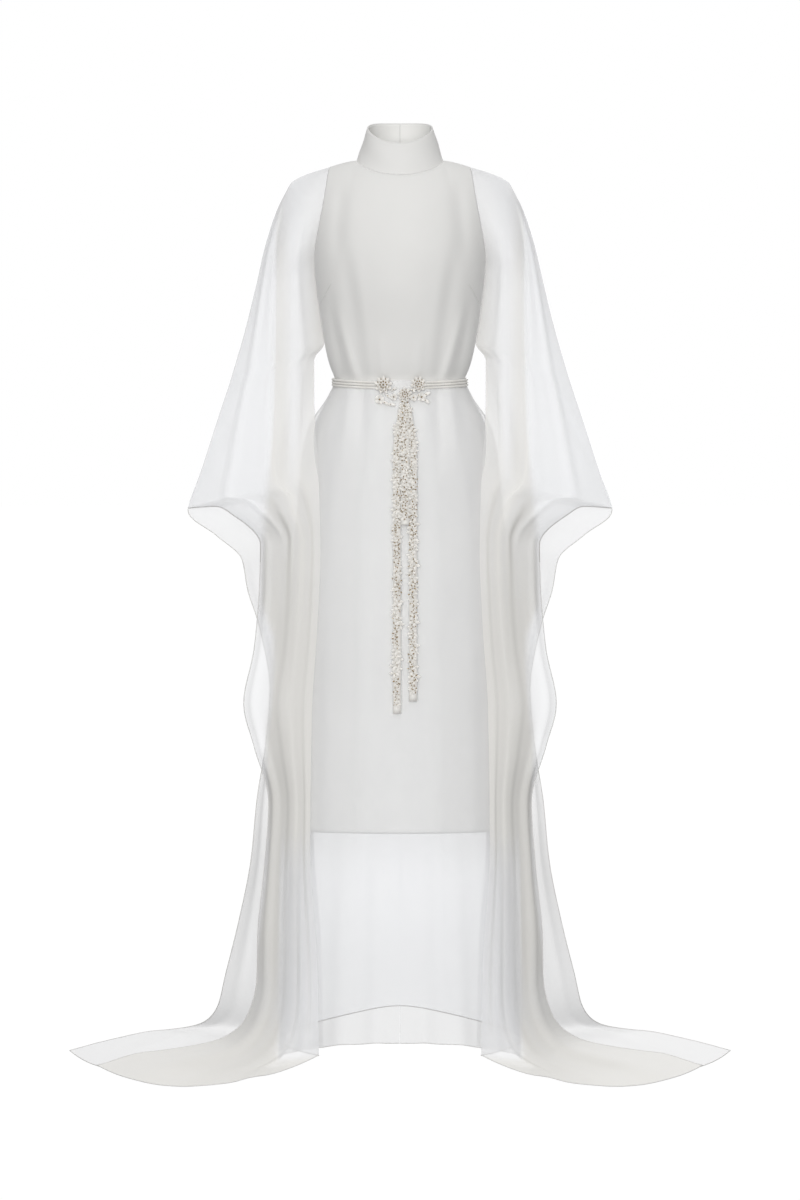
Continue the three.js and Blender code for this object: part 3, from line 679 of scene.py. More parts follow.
def wing_inner(z, facing):
    """The wing's edge by the body: the armhole, the side seam, its free edge and its lap on the skirt."""
    apart = SEAM_GAP["y"]
    edge = CREPE_EDGE[facing]
    x = np.interp(-z, -edge[:, 2], edge[:, 0]) + SEAM_GAP["x"]
    y = np.interp(-z, -edge[:, 2], edge[:, 1])
    away = float(fade(WING_LEAVES + 2, WING_LEAVES - 26, z))
    if away == 0:
        return np.array([x, facing * max(facing * y, apart), z])
    hip = LAP[0]["z"]
    free = FREE_EDGE if z > hip else float(read(LAP, "z", "x", z))
    clear = float(clear_of("lapped", z))
    turn = float(turn_at(free, z, clear))
    lap = 0 if z > hip + 12 else abs(around(turn if facing < 0 else 180 - turn, z, clear)[1])
    return np.array([mix(x, free, away), facing * max(apart, mix(facing * y, lap, away)), z])


def pleat_warp(u, row, pleats, deep):
    """Where each point of the cloth goes across and out when the cloth doubles back over itself."""
    shift, lift, pleated = (np.zeros_like(u * row) for _ in range(3))
    for p in pleats:
        along = np.clip((row - p["from"]) / (p["to"] - p["from"]), 0, 1)
        at = mix(p["start"], p["end"], along ** 0.8)
        held = fade(p["from"] - 0.5, p["from"] + 2.5, row) * fade(p["to"] + 0.6, p["to"] - 2.0, row)
        t = p["way"] * (u - at) / p["wide"]
        shift -= p["way"] * p["over"] * p["wide"] * CARRIED * t * np.exp(-t * t) * held
        out = fade(-1, 1, t) * np.exp(-(np.maximum(t - 1, 0) ** 2) / 5)
        lift += deep * p["high"] * out * held
        pleated = np.maximum(pleated, np.exp(-t * t) * held)
    return shift, lift, pleated


def wing_grid(facing, deep, rows=180, columns=250):
    """A wing panel with its folds, as rows from the shoulder to the train's tip."""
    sections = [dict(line, row=i) for i, line in enumerate(WING_FRONT if facing < 0 else WING_BACK)]
    row = np.linspace(0, len(sections) - 1, rows)
    u = np.linspace(0, 1, columns)
    rest = FLOOR + REST["front" if facing < 0 else "back"]
    value = {name: read(sections, "row", name, row) for name in WING_COLUMNS.split()}
    base = np.empty((rows, columns, 3))
    for r in range(rows):
        inner = wing_inner(value["inner"][r], facing)
        outer = np.array([value["x"][r], facing * value["y"][r], value["z"][r]])
        if row[r] < JOINED_ROWS:
            outer[1] = facing * max(SEAM_GAP["y"], value["y"][r])
        bow = np.array([0, facing * value["bow"][r], 0])
        near = mix(inner, outer, 0.33) + bow * value["early"][r]
        far = mix(inner, outer, 0.67) + bow
        line = bezier(inner, near, far, outer, u)
        line[:, 2] = mix(outer[2], inner[2], (1 - u) ** value["drop"][r])
        base[r] = line
    base[..., 2] = np.maximum(base[..., 2], rest)
    soften = 0.25 * fade(4.5, 6, row[1:-1, None]) * fade(13, 11, row[1:-1, None]) * fade(0.9, 0.6, u)
    for _ in range(PASSES["wing"]):
        base[1:-1, :, 1] += soften * (base[:-2, :, 1] + base[2:, :, 1] - 2 * base[1:-1, :, 1])
    normal = normals_of(base)
    uu, rr = np.meshgrid(u, row)
    held = fade(0, 0.1, uu) * fade(1, 0.93, uu)
    shift, lift, pleated = pleat_warp(uu, rr, FRONT_PLEATS if facing < 0 else BACK_PLEATS, deep)
    for f in WING_RIDGES:
        at = mix(f["start"], f["end"], np.clip((rr - f["from"]) / (f["to"] - f["from"]), 0, 1))
        rise = deep * f["high"] * ridge(uu - at, f["wide"])
        lift += rise * fade(f["from"] - 0.5, f["from"] + 1.5, rr) * fade(f["to"] + 0.5, f["to"] - 1.5, rr)
    warped = np.clip(uu + shift * held, 0, 1) * (columns - 1)
    low = np.minimum(warped.astype(int), columns - 2)
    part = (warped - low)[..., None]
    index = np.arange(rows)[:, None]
    grid = base[index, low] * (1 - part) + base[index, low + 1] * part
    out = normal[index, low] * (1 - part) + normal[index, low + 1] * part
    move = out * (facing * lift * held)[..., None]
    move[..., 2] = np.abs(move[..., 2])
    grid += move
    grid[..., 2] = np.maximum(grid[..., 2], rest)
    return grid, pleated * held


def wing_plies(grid, facing, pleated):
    """How gathered a wing is: fine plies hang together beside the body and run out over the train."""
    x, z = np.abs(grid[..., 0]), grid[..., 2]
    if facing > 0:
        return np.clip(read(BACK_GATHERS, "z", "full", z) + 0.2 * pleated, 0, 1)
    reach = read(GATHERS, "z", "x", z)
    soft = 4 + 6 * fade(-430, -560, z)
    hung = read(GATHERS, "z", "full", z) * fade(reach + soft, reach - soft, x)
    thin = THINNED
    hung *= 1 - thin["by"] * fade(*thin["above"], z) * fade(*thin["below"], z) * fade(*thin["across"], x)
    sleeve = mix(1, read(SLEEVE_PLIES, "x", "share", x), fade(-560, -430, z))
    return np.clip(hung * sleeve + 0.15 * pleated, 0.03, 1)


# ---- Mesh and object tools ----


def feed(tree, socket, value):
    """Links a socket to another one, or sets it to a plain value."""
    if isinstance(value, bpy.types.NodeSocket):
        tree.links.new(value, socket)
    else:
        socket.default_value = value


def put(data, name):
    """A mesh, a light or a camera as an object in the scene."""
    obj = bpy.data.objects.new(name, data)
    bpy.context.scene.collection.objects.link(obj)
    return obj


def cloth(name, grid, material, thickness=0, gathered=0.0, inner_side=None):
    """Cloth on a grid of points, as a shell if it has a thickness. Its UV map is its cut in metres.

    gathered says how densely fine plies lie together at each point, from 0 for a single one to 1. The last argument is
    the material of a shell's inner side, where it isn't the same.
    """
    rows, columns = grid.shape[:2]
    index = np.arange(rows * columns).reshape(rows, columns)
    faces = np.stack([index[:-1, :-1], index[:-1, 1:], index[1:, 1:], index[1:, :-1]], -1).reshape(-1, 4)
    if np.sum(normals_of(grid)[..., :2] * grid[..., :2]) < 0:
        faces = faces[:, ::-1]
    mesh = bpy.data.meshes.new(name)
    mesh.from_pydata((grid.reshape(-1, 3) * MM).tolist(), [], faces.tolist())
    down, across = (np.linalg.norm(np.diff(grid, axis=axis), axis=-1) * MM for axis in (0, 1))
    s = np.concatenate([np.zeros((rows, 1)), np.cumsum(across, axis=1)], axis=1)
    t = np.concatenate([np.zeros((1, columns)), np.cumsum(down, axis=0)], axis=0)
    uv = np.stack([s - s.mean(axis=1, keepdims=True), -t], -1).reshape(-1, 2)
    layer = mesh.uv_layers.new(name="cut")
    loops = np.empty(len(mesh.loops), int)
    mesh.loops.foreach_get("vertex_index", loops)
    layer.data.foreach_set("uv", uv[loops].astype(np.float32).ravel())
    plies = mesh.attributes.new("gathered", "FLOAT", "POINT")
    amount = np.broadcast_to(gathered, (rows, columns))
    plies.data.foreach_set("value", amount.astype(np.float32).ravel())
    mesh.materials.append(material)
    mesh.shade_smooth()
    obj = put(mesh, name)
    if thickness:
        shell = obj.modifiers.new("thickness", "SOLIDIFY")
        shell.thickness = thickness
        shell.offset = 0
        if inner_side:
            mesh.materials.append(inner_side)
            shell.material_offset = 1
    return obj


def path_mesh(name, paths):
    """Open paths as the edges of one mesh."""
    verts, edges = [], []
    for path in paths:
        start = len(verts)
        verts += (np.asarray(path) * MM).tolist()
        edges += [(start + k, start + k + 1) for k in range(len(path) - 1)]
    mesh = bpy.data.meshes.new(name)
    mesh.from_pydata(verts, edges, [])
    return put(mesh, name)


def node_tree(name, sockets):
    """An empty Geometry Nodes tree with named inputs, and its two ends."""
    tree = bpy.data.node_groups.new(name, "GeometryNodeTree")
    tree.interface.new_socket("Geometry", in_out="INPUT", socket_type="NodeSocketGeometry")
    tree.interface.new_socket("Geometry", in_out="OUTPUT", socket_type="NodeSocketGeometry")
    for label, kind, default in sockets:
        socket = tree.interface.new_socket(label, in_out="INPUT", socket_type=kind)
        if default is not None:
            socket.default_value = default
    return tree, tree.nodes.new("NodeGroupInput"), tree.nodes.new("NodeGroupOutput")


def finish_tree(tree, geometry, material, end):
    """Every tree ends in plain geometry with its material set."""
    real = tree.nodes.new("GeometryNodeRealizeInstances")
    paint = tree.nodes.new("GeometryNodeSetMaterial")
    tree.links.new(geometry, real.inputs["Geometry"])
    tree.links.new(real.outputs["Geometry"], paint.inputs["Geometry"])
    tree.links.new(material, paint.inputs["Material"])
    tree.links.new(paint.outputs["Geometry"], end.inputs["Geometry"])


def tube_tree():
    """A round tube along each path."""
    tree, start, end = node_tree(
        "tube along a path",
        [
            ("Radius", "NodeSocketFloat", 0.001),
            ("Sides", "NodeSocketInt", 6),
            ("Material", "NodeSocketMaterial", None),
        ],
    )
    line = tree.nodes.new("GeometryNodeMeshToCurve")
    ring = tree.nodes.new("GeometryNodeCurvePrimitiveCircle")
    sweep = tree.nodes.new("GeometryNodeCurveToMesh")
    sweep.inputs["Fill Caps"].default_value = True
    smooth = tree.nodes.new("GeometryNodeSetShadeSmooth")
    link = tree.links.new
    link(start.outputs["Geometry"], line.inputs["Mesh"])
    link(start.outputs["Radius"], ring.inputs["Radius"])
    link(start.outputs["Sides"], ring.inputs["Resolution"])
    link(line.outputs["Curve"], sweep.inputs["Curve"])
    link(ring.outputs["Curve"], sweep.inputs["Profile Curve"])
    link(sweep.outputs["Mesh"], smooth.inputs["Geometry"])
    finish_tree(tree, smooth.outputs["Geometry"], start.outputs["Material"], end)
    return tree


def scatter_tree():
    """Copies of one piece along each path, turned and scaled unevenly about the path."""
    tree, start, end = node_tree(
        "flowers along a path",
        [
            ("Pitch", "NodeSocketFloat", 0.008),
            ("Sway", "NodeSocketFloat", 0.002),
            ("Smallest", "NodeSocketFloat", 0.8),
            ("Largest", "NodeSocketFloat", 1.1),
            ("Seed", "NodeSocketInt", 7),
            ("Piece", "NodeSocketObject", None),
            ("Material", "NodeSocketMaterial", None),
        ],
    )
    new, link = tree.nodes.new, tree.links.new
    line, resample = new("GeometryNodeMeshToCurve"), new("GeometryNodeResampleCurve")
    resample.mode = "LENGTH"
    link(start.outputs["Geometry"], line.inputs["Mesh"])
    link(line.outputs["Curve"], resample.inputs["Curve"])
    link(start.outputs["Pitch"], resample.inputs["Length"])

    def random(kind, low, high, step):
        """A random value for each copy, from a seed of its own."""
        node = new("FunctionNodeRandomValue")
        node.data_type = kind
        sockets = {s.name: s for s in node.inputs if s.enabled}
        feed(tree, sockets["Min"], low)
        feed(tree, sockets["Max"], high)
        feed(tree, sockets["Seed"], maths(tree, "ADD", start.outputs["Seed"], step))
        return next(s for s in node.outputs if s.enabled)

    place = new("GeometryNodeSetPosition")
    offset = new("ShaderNodeVectorMath")
    offset.operation = "SCALE"
    link(random("FLOAT_VECTOR", (-1, -0.25, -0.6), (1, 0.1, 0.6), 1), offset.inputs[0])
    link(start.outputs["Sway"], offset.inputs["Scale"])
    link(resample.outputs["Curve"], place.inputs["Geometry"])
    link(offset.outputs["Vector"], place.inputs["Offset"])
    info = new("GeometryNodeObjectInfo")
    link(start.outputs["Piece"], info.inputs["Object"])
    copies = new("GeometryNodeInstanceOnPoints")
    link(place.outputs["Geometry"], copies.inputs["Points"])
    link(info.outputs["Geometry"], copies.inputs["Instance"])
    link(random("FLOAT_VECTOR", (-0.14, -3.1, -0.12), (0.1, 3.1, 0.12), 2), copies.inputs["Rotation"])
    link(random("FLOAT", start.outputs["Smallest"], start.outputs["Largest"], 3), copies.inputs["Scale"])
    finish_tree(tree, copies.outputs["Instances"], start.outputs["Material"], end)
    return tree


def grown(obj, tree, **inputs):
    """obj as a tree makes it, as a plain mesh with no modifier."""
    modifier = obj.modifiers.new("grow", "NODES")
    modifier.node_group = tree
    for item in tree.interface.items_tree:
        label = item.name.lower()
        if item.item_type == "SOCKET" and item.in_out == "INPUT" and label in inputs:
            modifier[item.identifier] = inputs[label]
    bpy.context.view_layer.update()
    ready = obj.evaluated_get(bpy.context.evaluated_depsgraph_get())
    mesh = bpy.data.meshes.new_from_object(ready)
    mesh.name = obj.name
    obj.modifiers.remove(modifier)
    obj.data = mesh
    return obj


def tree_named(name, maker):
    """A node tree, made once."""
    return bpy.data.node_groups.get(name) or maker()


def tubes(name, paths, radius, material, sides=6):
    """Round tubes along paths, as one object. The radius is in metres."""
    obj = path_mesh(name, paths)
    tree = tree_named("tube along a path", tube_tree)
    return grown(obj, tree, radius=radius, sides=sides, material=material)


# ---- Materials ----


def base_material(name, colour, roughness):
    """A material with its tree and its shader, bare again if it was made before."""
    mat = bpy.data.materials.get(name) or bpy.data.materials.new(name)
    mat.use_nodes = True
    tree = mat.node_tree
    shader = tree.nodes["Principled BSDF"]
    for node in list(tree.nodes):
        if node != shader and node.type != "OUTPUT_MATERIAL":
            tree.nodes.remove(node)
    shader.inputs["Base Color"].default_value = (*colour[:3], 1)
    shader.inputs["Roughness"].default_value = roughness
    return mat, tree, shader


def shaded(colour, share):
    """A colour darkened to a share of itself."""
    return [c * share for c in colour[:3]]


def cut_coordinates(tree, scale=(1, 1, 1)):
    """The cloth's own cut, scaled to a pattern's size."""
    where = tree.nodes.new("ShaderNodeTexCoord")
    mapping = tree.nodes.new("ShaderNodeMapping")
    mapping.inputs["Scale"].default_value = scale
    tree.links.new(where.outputs["UV"], mapping.inputs["Vector"])
    return mapping.outputs["Vector"]


def piece_coordinates(tree):
    return tree.nodes.new("ShaderNodeTexCoord").outputs["Object"]


def noise(tree, vector, scale, detail):
    """Soft noise, mostly between 0.3 and 0.7."""
    node = tree.nodes.new("ShaderNodeTexNoise")
    node.inputs["Scale"].default_value = scale
    node.inputs["Detail"].default_value = detail
    tree.links.new(vector, node.inputs["Vector"])
    return node.outputs["Fac"]


def ramp(tree, source, low, high, first=0, second=1):
    """first where the source is low, second where it is high, and straight between them."""
    node = tree.nodes.new("ShaderNodeMapRange")
    for name, value in (("From Min", low), ("From Max", high), ("To Min", first), ("To Max", second)):
        node.inputs[name].default_value = value
    tree.links.new(source, node.inputs["Value"])
    return node.outputs["Result"]


def maths(tree, operation, first, second):
    node = tree.nodes.new("ShaderNodeMath")
    node.operation = operation
    feed(tree, node.inputs[0], first)
    feed(tree, node.inputs[1], second)
    return node.outputs[0]


def bumped(tree, shader, height, distance, strength):
    """Fine relief from a height."""
    bump = tree.nodes.new("ShaderNodeBump")
    bump.inputs["Distance"].default_value = distance
    bump.inputs["Strength"].default_value = strength
    tree.links.new(height, bump.inputs["Height"])
    tree.links.new(bump.outputs["Normal"], shader.inputs["Normal"])


def blended(tree, shader, factor, first, second):
    """The base colour, from the first to the second as a factor rises from 0 to 1."""
    blend = tree.nodes.new("ShaderNodeMix")
    blend.data_type = "RGBA"
    blend.inputs["A"].default_value = (*first[:3], 1)
    blend.inputs["B"].default_value = (*second[:3], 1)
    tree.links.new(factor, blend.inputs["Factor"])
    tree.links.new(blend.outputs["Result"], shader.inputs["Base Color"])


def crepe_material(name, colour):
    """Matt crepe with a fine pebbled grain and a soft sheen."""
    mat, tree, shader = base_material(name, colour, 0.62)
    vector = cut_coordinates(tree)
    grain = noise(tree, vector, 1400, 2)
    cloudy = noise(tree, vector, 9, 3)
    shader.inputs["Sheen Weight"].default_value = 0.25
    shader.inputs["Sheen Roughness"].default_value = 0.5
    shader.inputs["Specular IOR Level"].default_value = 0.25
    blended(tree, shader, ramp(tree, cloudy, 0.35, 0.65), shaded(colour, 0.975), colour)
    bumped(tree, shader, grain, 0.0003, 0.2)
    return mat


def sheer_material(p):
    """Chiffon: a veil that thickens where it is gathered or turns edge-on, darkens with painted shade where it is
    gathered, and has a faint slub in its threads.
    """
    mat, tree, shader = base_material("ivory chiffon", p.sheer_colour, 0.7)
    cloudy = noise(tree, cut_coordinates(tree), 6, 2)
    slub = noise(tree, cut_coordinates(tree, (150, 12, 1)), 1, 2)
    plies = tree.nodes.new("ShaderNodeAttribute")
    plies.attribute_name = "gathered"
    edge = tree.nodes.new("ShaderNodeLayerWeight")
    edge.inputs["Blend"].default_value = 0.5
    veil = ramp(tree, plies.outputs["Fac"], 0, 1, p.sheer_opacity, p.gathered_opacity)
    veil = maths(tree, "MULTIPLY", veil, ramp(tree, edge.outputs["Facing"], 0, 1, 1, 1.5))
    veil = maths(tree, "MULTIPLY", veil, ramp(tree, cloudy, 0.3, 0.7, 0.97, 1.06))
    # It lets most of the light through to what lies behind it.
    lamp = tree.nodes.new("ShaderNodeLightPath")
    shadow = maths(tree, "MULTIPLY", lamp.outputs["Is Shadow Ray"], 0.85)
    bounce = maths(tree, "MULTIPLY", lamp.outputs["Is Diffuse Ray"], 0.7)
    held_back = maths(tree, "SUBTRACT", 1, maths(tree, "ADD", shadow, bounce))
    tree.links.new(maths(tree, "MULTIPLY", veil, held_back), shader.inputs["Alpha"])
    shader.inputs["Specular IOR Level"].default_value = 0.15
    shader.inputs["Sheen Weight"].default_value = 0.15
    # Where gathered, the colour goes to a darker, warmer one: the ivory's tone with painted shade between the plies.
    blended(tree, shader, plies.outputs["Fac"], p.sheer_colour, p.gathered_shade_colour)
    bumped(tree, shader, slub, 0.0002, 0.12)
    mat.surface_render_method = "DITHERED"
    return mat


def thread_material(name, colour, roughness, sheen):
    """Satin thread and rolled edges, with a fine twist."""
    mat, tree, shader = base_material(name, colour, roughness)
    twist = noise(tree, piece_coordinates(tree), 900, 2)
    shader.inputs["Sheen Weight"].default_value = sheen
    blended(tree, shader, ramp(tree, twist, 0.3, 0.7), shaded(colour, 0.9), colour)
    bumped(tree, shader, twist, 0.0004, 0.4)
    return mat


def hem_material(name, colour):
    return thread_material(name, colour, 0.6, 0.1)


def cord_material(belt):
    return thread_material("satin cord", belt.cord_colour, 0.45, 0.2)


def petal_material(belt):
    """Pearly petals, a little darker in patches."""
    mat, tree, shader = base_material("pearly petal", belt.petal_colour, 0.32)
    cloudy = noise(tree, piece_coordinates(tree), 260, 3)
    shader.inputs["Coat Weight"].default_value = 0.4
    shader.inputs["Coat Roughness"].default_value = 0.2
    blended(tree, shader, ramp(tree, cloudy, 0.35, 0.65), shaded(belt.petal_colour, 0.82), belt.petal_colour)
    bumped(tree, shader, cloudy, 0.0005, 0.3)
    return mat


def bead_material(belt):
    """Old gold, speckled."""
    mat, tree, shader = base_material("old gold bead", belt.gold_colour, 0.28)
    speck = noise(tree, piece_coordinates(tree), 700, 2)
    shader.inputs["Metallic"].default_value = 0.5
    blended(tree, shader, ramp(tree, speck, 0.35, 0.65), shaded(belt.gold_colour, 0.6), belt.gold_colour)
    return mat


# ---- The sizes and colours a user would change ----


def length(name, description, default, low=0.0, high=2.0):
    """A length in metres."""
    return bpy.props.FloatProperty(
        name=name,
        description=description,
        default=default,
        min=low,
        max=high,
        subtype="DISTANCE",
        unit="LENGTH",
        precision=5,
    )


def colour(name, description, default):
    return bpy.props.FloatVectorProperty(
        name=name, description=description, default=default, size=3, min=0, max=1, subtype="COLOR"
    )


def factor(name, description, default, low=0.0, high=10.0):
    return bpy.props.FloatProperty(
        name=name, description=description, default=default, min=low, max=high, subtype="FACTOR"
    )


class KAFTAN_PG_cloth(bpy.types.PropertyGroup):
    """The cloth."""

    crepe_thickness: length("Crepe thickness", "Thickness of the lined crepe", 0.0012)
    hem_radius: length("Rolled hem radius", "Radius of the rolled hems of the sheer cloth", 0.0007)
    fold_depth: factor("Fold depth", "How deep the wings' folds are, 1 as made", 1.0, 0, 1.4)
    sheer_opacity: factor("Chiffon opacity", "How much one layer of the sheer cloth hides", 0.31, 0.02, 0.9)
    gathered_opacity: factor("Gathered opacity", "How much it hides where fully gathered", 0.84, 0.02, 1)
    crepe_colour: colour("Crepe colour", "Colour of the crepe", (0.82, 0.815, 0.797))
    # Lighter than the crepe: painted light on the collar's inside, which lies in shade.
    inner_painted_light_colour: colour("Collar inside colour", "Colour of the collar's inner side", (0.96, 0.955, 0.93))
    sheer_colour: colour("Chiffon colour", "Colour of one layer of the sheer cloth", (0.875, 0.885, 0.915))
    # Darker than one layer: the ivory's tone with painted shade between the plies.
    gathered_shade_colour: colour("Gathered colour", "Colour of the gathered sheer cloth", (0.825, 0.812, 0.78))
    hem_colour: colour("Rolled hem colour", "Colour of the sheer cloth's rolled hems", (0.74, 0.73, 0.71))
    # Dark: painted shade of the cloth's fold along the wrist's hem.
    wrist_shade_colour: colour("Wrist hem colour", "Colour of the hem at the wrists, with painted shade of the fold", (0.46, 0.45, 0.43))


class KAFTAN_PG_belt(bpy.types.PropertyGroup):
    """The belt and its flowers."""

    cord_radius: length("Cord radius", "Radius of each of the band's three cords", 0.00205)
    flower_radius: length("Flower radius", "Radius of a strand's flowers", 0.0086)
    flower_pitch: length("Flower pitch", "Distance from flower to flower along a strand", 0.0078)
    seed: bpy.props.IntProperty(
        name="Seed", description="Turns, places and sizes of the strands' flowers", default=11, min=0
    )
    cord_colour: colour("Cord colour", "Colour of the belt's cords", (0.92, 0.9, 0.86))
    petal_colour: colour("Petal colour", "Colour of the petals and leaves", (0.97, 0.945, 0.9))
    gold_colour: colour("Gold bead colour", "Colour of the flowers' centres", (0.4, 0.29, 0.15))


class KAFTAN_PG_stage(bpy.types.PropertyGroup):
    """Floor, light and camera."""

    camera_distance: length("Camera distance", "From the dress's middle to the camera", 5.0, 1, 20)
    camera_height: length("Camera height", "Camera above the floor", 1.0, 0, 5)
    camera_tilt: bpy.props.FloatProperty(
        name="Camera tilt",
        description="How far the camera looks down",
        default=math.radians(2.654),
        subtype="ANGLE",
    )
    key_power: bpy.props.FloatProperty(
        name="Front light", description="Power of the soft light in front", default=162, min=0, unit="POWER"
    )
    sky_light: factor("Ambient light", "Strength of the even light all round", 0.48)
    floor_light: factor("Floor light", "How much light the floor throws back on the dress", 0.3, 0, 1)
    top_light: factor("Top light", "How much stronger the light from overhead is", 0.65)
    side_shade: factor("Side shade", "How much weaker the light from the sides is", 0.5)


class Maker:
    """What the dress's operators share."""

    bl_options = {"REGISTER", "UNDO"}

    def execute(self, context):
        scene = context.scene
        try:
            self.make(scene.kaftan_cloth, scene.kaftan_belt, scene.kaftan_stage)
        except Exception as error:
            raise RuntimeError(f"{self.bl_label} failed: {error}") from error
        return {"FINISHED"}


def settle(obj, slot, *nodes):
    """Hangs a finished piece on the dress's one body and lets it stand for its solids."""
    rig.ride(obj, "root")
    if nodes:
        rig.replaces(obj, *nodes)
    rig.slot(obj, slot)
    return obj


class KAFTAN_OT_collar(Maker, bpy.types.Operator):
    """The stand collar, closed at the centre back"""

    bl_idname = "kaftan.collar"
    bl_label = "Collar"

    def make(self, p, belt, stage):
        turns = np.linspace(180.05, 539.95, 160)
        levels = np.linspace(0, 1, 26)[:, None, None]
        low, high = on_ring(NECK, turns), on_ring(COLLAR_TOP, turns)
        low[:, 2] -= NECK_DROP["collar"]
        grid = low[None] * (1 - levels) + high[None] * levels
        up = levels[..., 0]
        slack = 0.7 * np.sin(np.radians(turns) * 3 + 5 * up) * (4 * up * (1 - up))
        grid = grid + normals_of(grid) * slack[..., None]
        crepe = crepe_material("ivory crepe", p.crepe_colour)
        # The inner side is lighter than the crepe: painted light on the inside of the collar, which lies in shade.
        inner_side = crepe_material("collar facing", p.inner_painted_light_colour)
        band = cloth("collar_band", grid, crepe, 0.0024, inner_side=inner_side)
        settle(band, "crepe", "collar")
        edge = tubes("collar_edge", [grid[-1] + [0, 0, 0.2]], 0.0013, crepe, 8)
        settle(edge, "crepe")
        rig.sheet(band, flat=(0.4, 0.062), held="stretched", rests_on=["front_panel"], with_pieces=[edge])


class KAFTAN_OT_crepe(Maker, bpy.types.Operator):
    """The crepe dress: its front in one piece, with darts, and its back in two halves"""

    bl_idname = "kaftan.crepe"
    bl_label = "Crepe dress"

    def make(self, p, belt, stage):
        fabric = crepe_material("ivory crepe", p.crepe_colour)
        front = cloth("front_panel", whole(crepe_half(-1)), fabric, p.crepe_thickness)
        settle(front, "crepe", "crepe_front")
        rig.sheet(front, flat=(0.4, 1.12), held="hung", rests_on=["collar_band"])
        sewn = thread_material("dart seam", shaded(p.crepe_colour, 0.93), 0.7, 0.1)
        x, z = (np.linspace(*DART[name], 16) for name in ("x", "z"))
        line = around(turn_at(x, z, DART["clear"]), z, DART["clear"])
        for hand, side in SIDES:
            settle(tubes(f"front_dart_{hand}", [mirrored(line, side)], DART["radius"] * MM, sewn), "crepe")
        for hand, side in SIDES:
            back = cloth(f"back_panel_{hand}", mirrored(crepe_half(1), side), fabric, p.crepe_thickness)
            settle(back, "crepe", f"crepe_back_{hand}")
            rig.sheet(back, flat=(0.21, 1.14), held="hung", rests_on=["collar_band"])


class KAFTAN_OT_skirt(Maker, bpy.types.Operator):
    """The sheer skirt from the belt to the floor, with its rolled hem and its centre-back seam"""

    bl_idname = "kaftan.skirt"
    bl_label = "Sheer skirt"

    def make(self, p, belt, stage):
        fabric = sheer_material(p)
        thread = hem_material("rolled chiffon edge", p.hem_colour)
        half = skirt_front_half()
        grid = whole(half)
        turn = np.minimum(np.arange(half.shape[1]) * SIDE_TURN / (SKIRT_COLUMNS - 1), SIDE_TURN)
        ply = SKIRT_PLIES
        plies = ply["first"] * fade(*ply["from"], turn) + ply["second"] * fade(*ply["then"], turn)
        kept = 1 - ply["thinned"] * fade(*THINNED["above"], grid[..., 2])
        plies = np.concatenate([plies[:0:-1], plies]) * kept
        front = cloth("skirt_front", grid, fabric, gathered=plies)
        settle(front, "sheer", "sheer_front")
        doubled = hem_material("turned chiffon edge", shaded(p.hem_colour, 0.72))
        hem = settle(tubes("skirt_front_hem", [grid[-1]], p.hem_radius, doubled), "sheer")
        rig.sheet(front, flat=(0.72, 1.1), held="gathered", rests_on=["belt_cords"], with_pieces=[hem])
        for hand, side in SIDES:
            grid = mirrored(skirt_back_half(), side)
            plies = BACK_PLIES["full"] * fade(*BACK_PLIES["from"], grid[..., 2])
            back = cloth(f"skirt_back_{hand}", grid, fabric, gathered=plies)
            settle(back, "sheer", f"sheer_back_{hand}")
            edge = grid[-1] + [0, 0, 0.4]
            hem = settle(tubes(f"skirt_back_hem_{hand}", [edge], p.hem_radius, thread), "sheer")
            if side > 0:
                seam = grid[:, -1] - [grid[0, -1, 0], 0, 0]
                settle(tubes("skirt_back_seam", [seam], p.hem_radius * 0.6, fabric), "sheer")
            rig.sheet(back, flat=(0.28, 1.13), held="gathered", rests_on=["belt_cords"], with_pieces=[hem])


class KAFTAN_OT_wings(Maker, bpy.types.Operator):
    """The sheer wings: sleeve, drape and train in one, front and back, with their rolled edges"""

    bl_idname = "kaftan.wings"
    bl_label = "Wings"

    def make(self, p, belt, stage):
        fabric = sheer_material(p)
        thread = hem_material("rolled chiffon edge", p.hem_colour)
        # The wrist's hem is dark with painted shade of the cloth's fold there.
        dark = hem_material("rolled wrist edge", p.wrist_shade_colour)
        for facing, word in ((-1, "front"), (1, "back")):
            shape, pleated = wing_grid(facing, p.fold_depth)
            plies = wing_plies(shape, facing, pleated)
            last = len(WING_FRONT) - 1
            wrist, knee = (int(len(shape) * row / last) for row in (JOINED_ROWS - 1, KNEE_ROW))
            for hand, side in SIDES:
                grid = mirrored(shape, side)
                panel = cloth(f"wing_{word}_panel_{hand}", grid, fabric, gathered=plies)
                settle(panel, "sheer", f"wing_{word}_{hand}")
                hung = knee if facing < 0 else wrist
                edges = [np.concatenate([grid[hung:, -1], grid[-1, -2::-1]])]
                hem = settle(tubes(f"wing_{word}_hem_{hand}", edges, p.hem_radius, thread), "sheer")
                if facing < 0:
                    cuff, fold = grid[wrist : knee + 1, -1], grid[: wrist + 1, -1] * [1, 0, 1]
                    settle(tubes(f"wing_wrist_hem_{hand}", [cuff], p.hem_radius, dark), "sheer")
                    settle(tubes(f"wing_fold_{hand}", [fold], p.hem_radius * 0.6, fabric), "sheer")
                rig.sheet(panel, flat=(0.5, 1.6), area=0.36, held="hung", rests_on=["front_panel"], with_pieces=[hem])


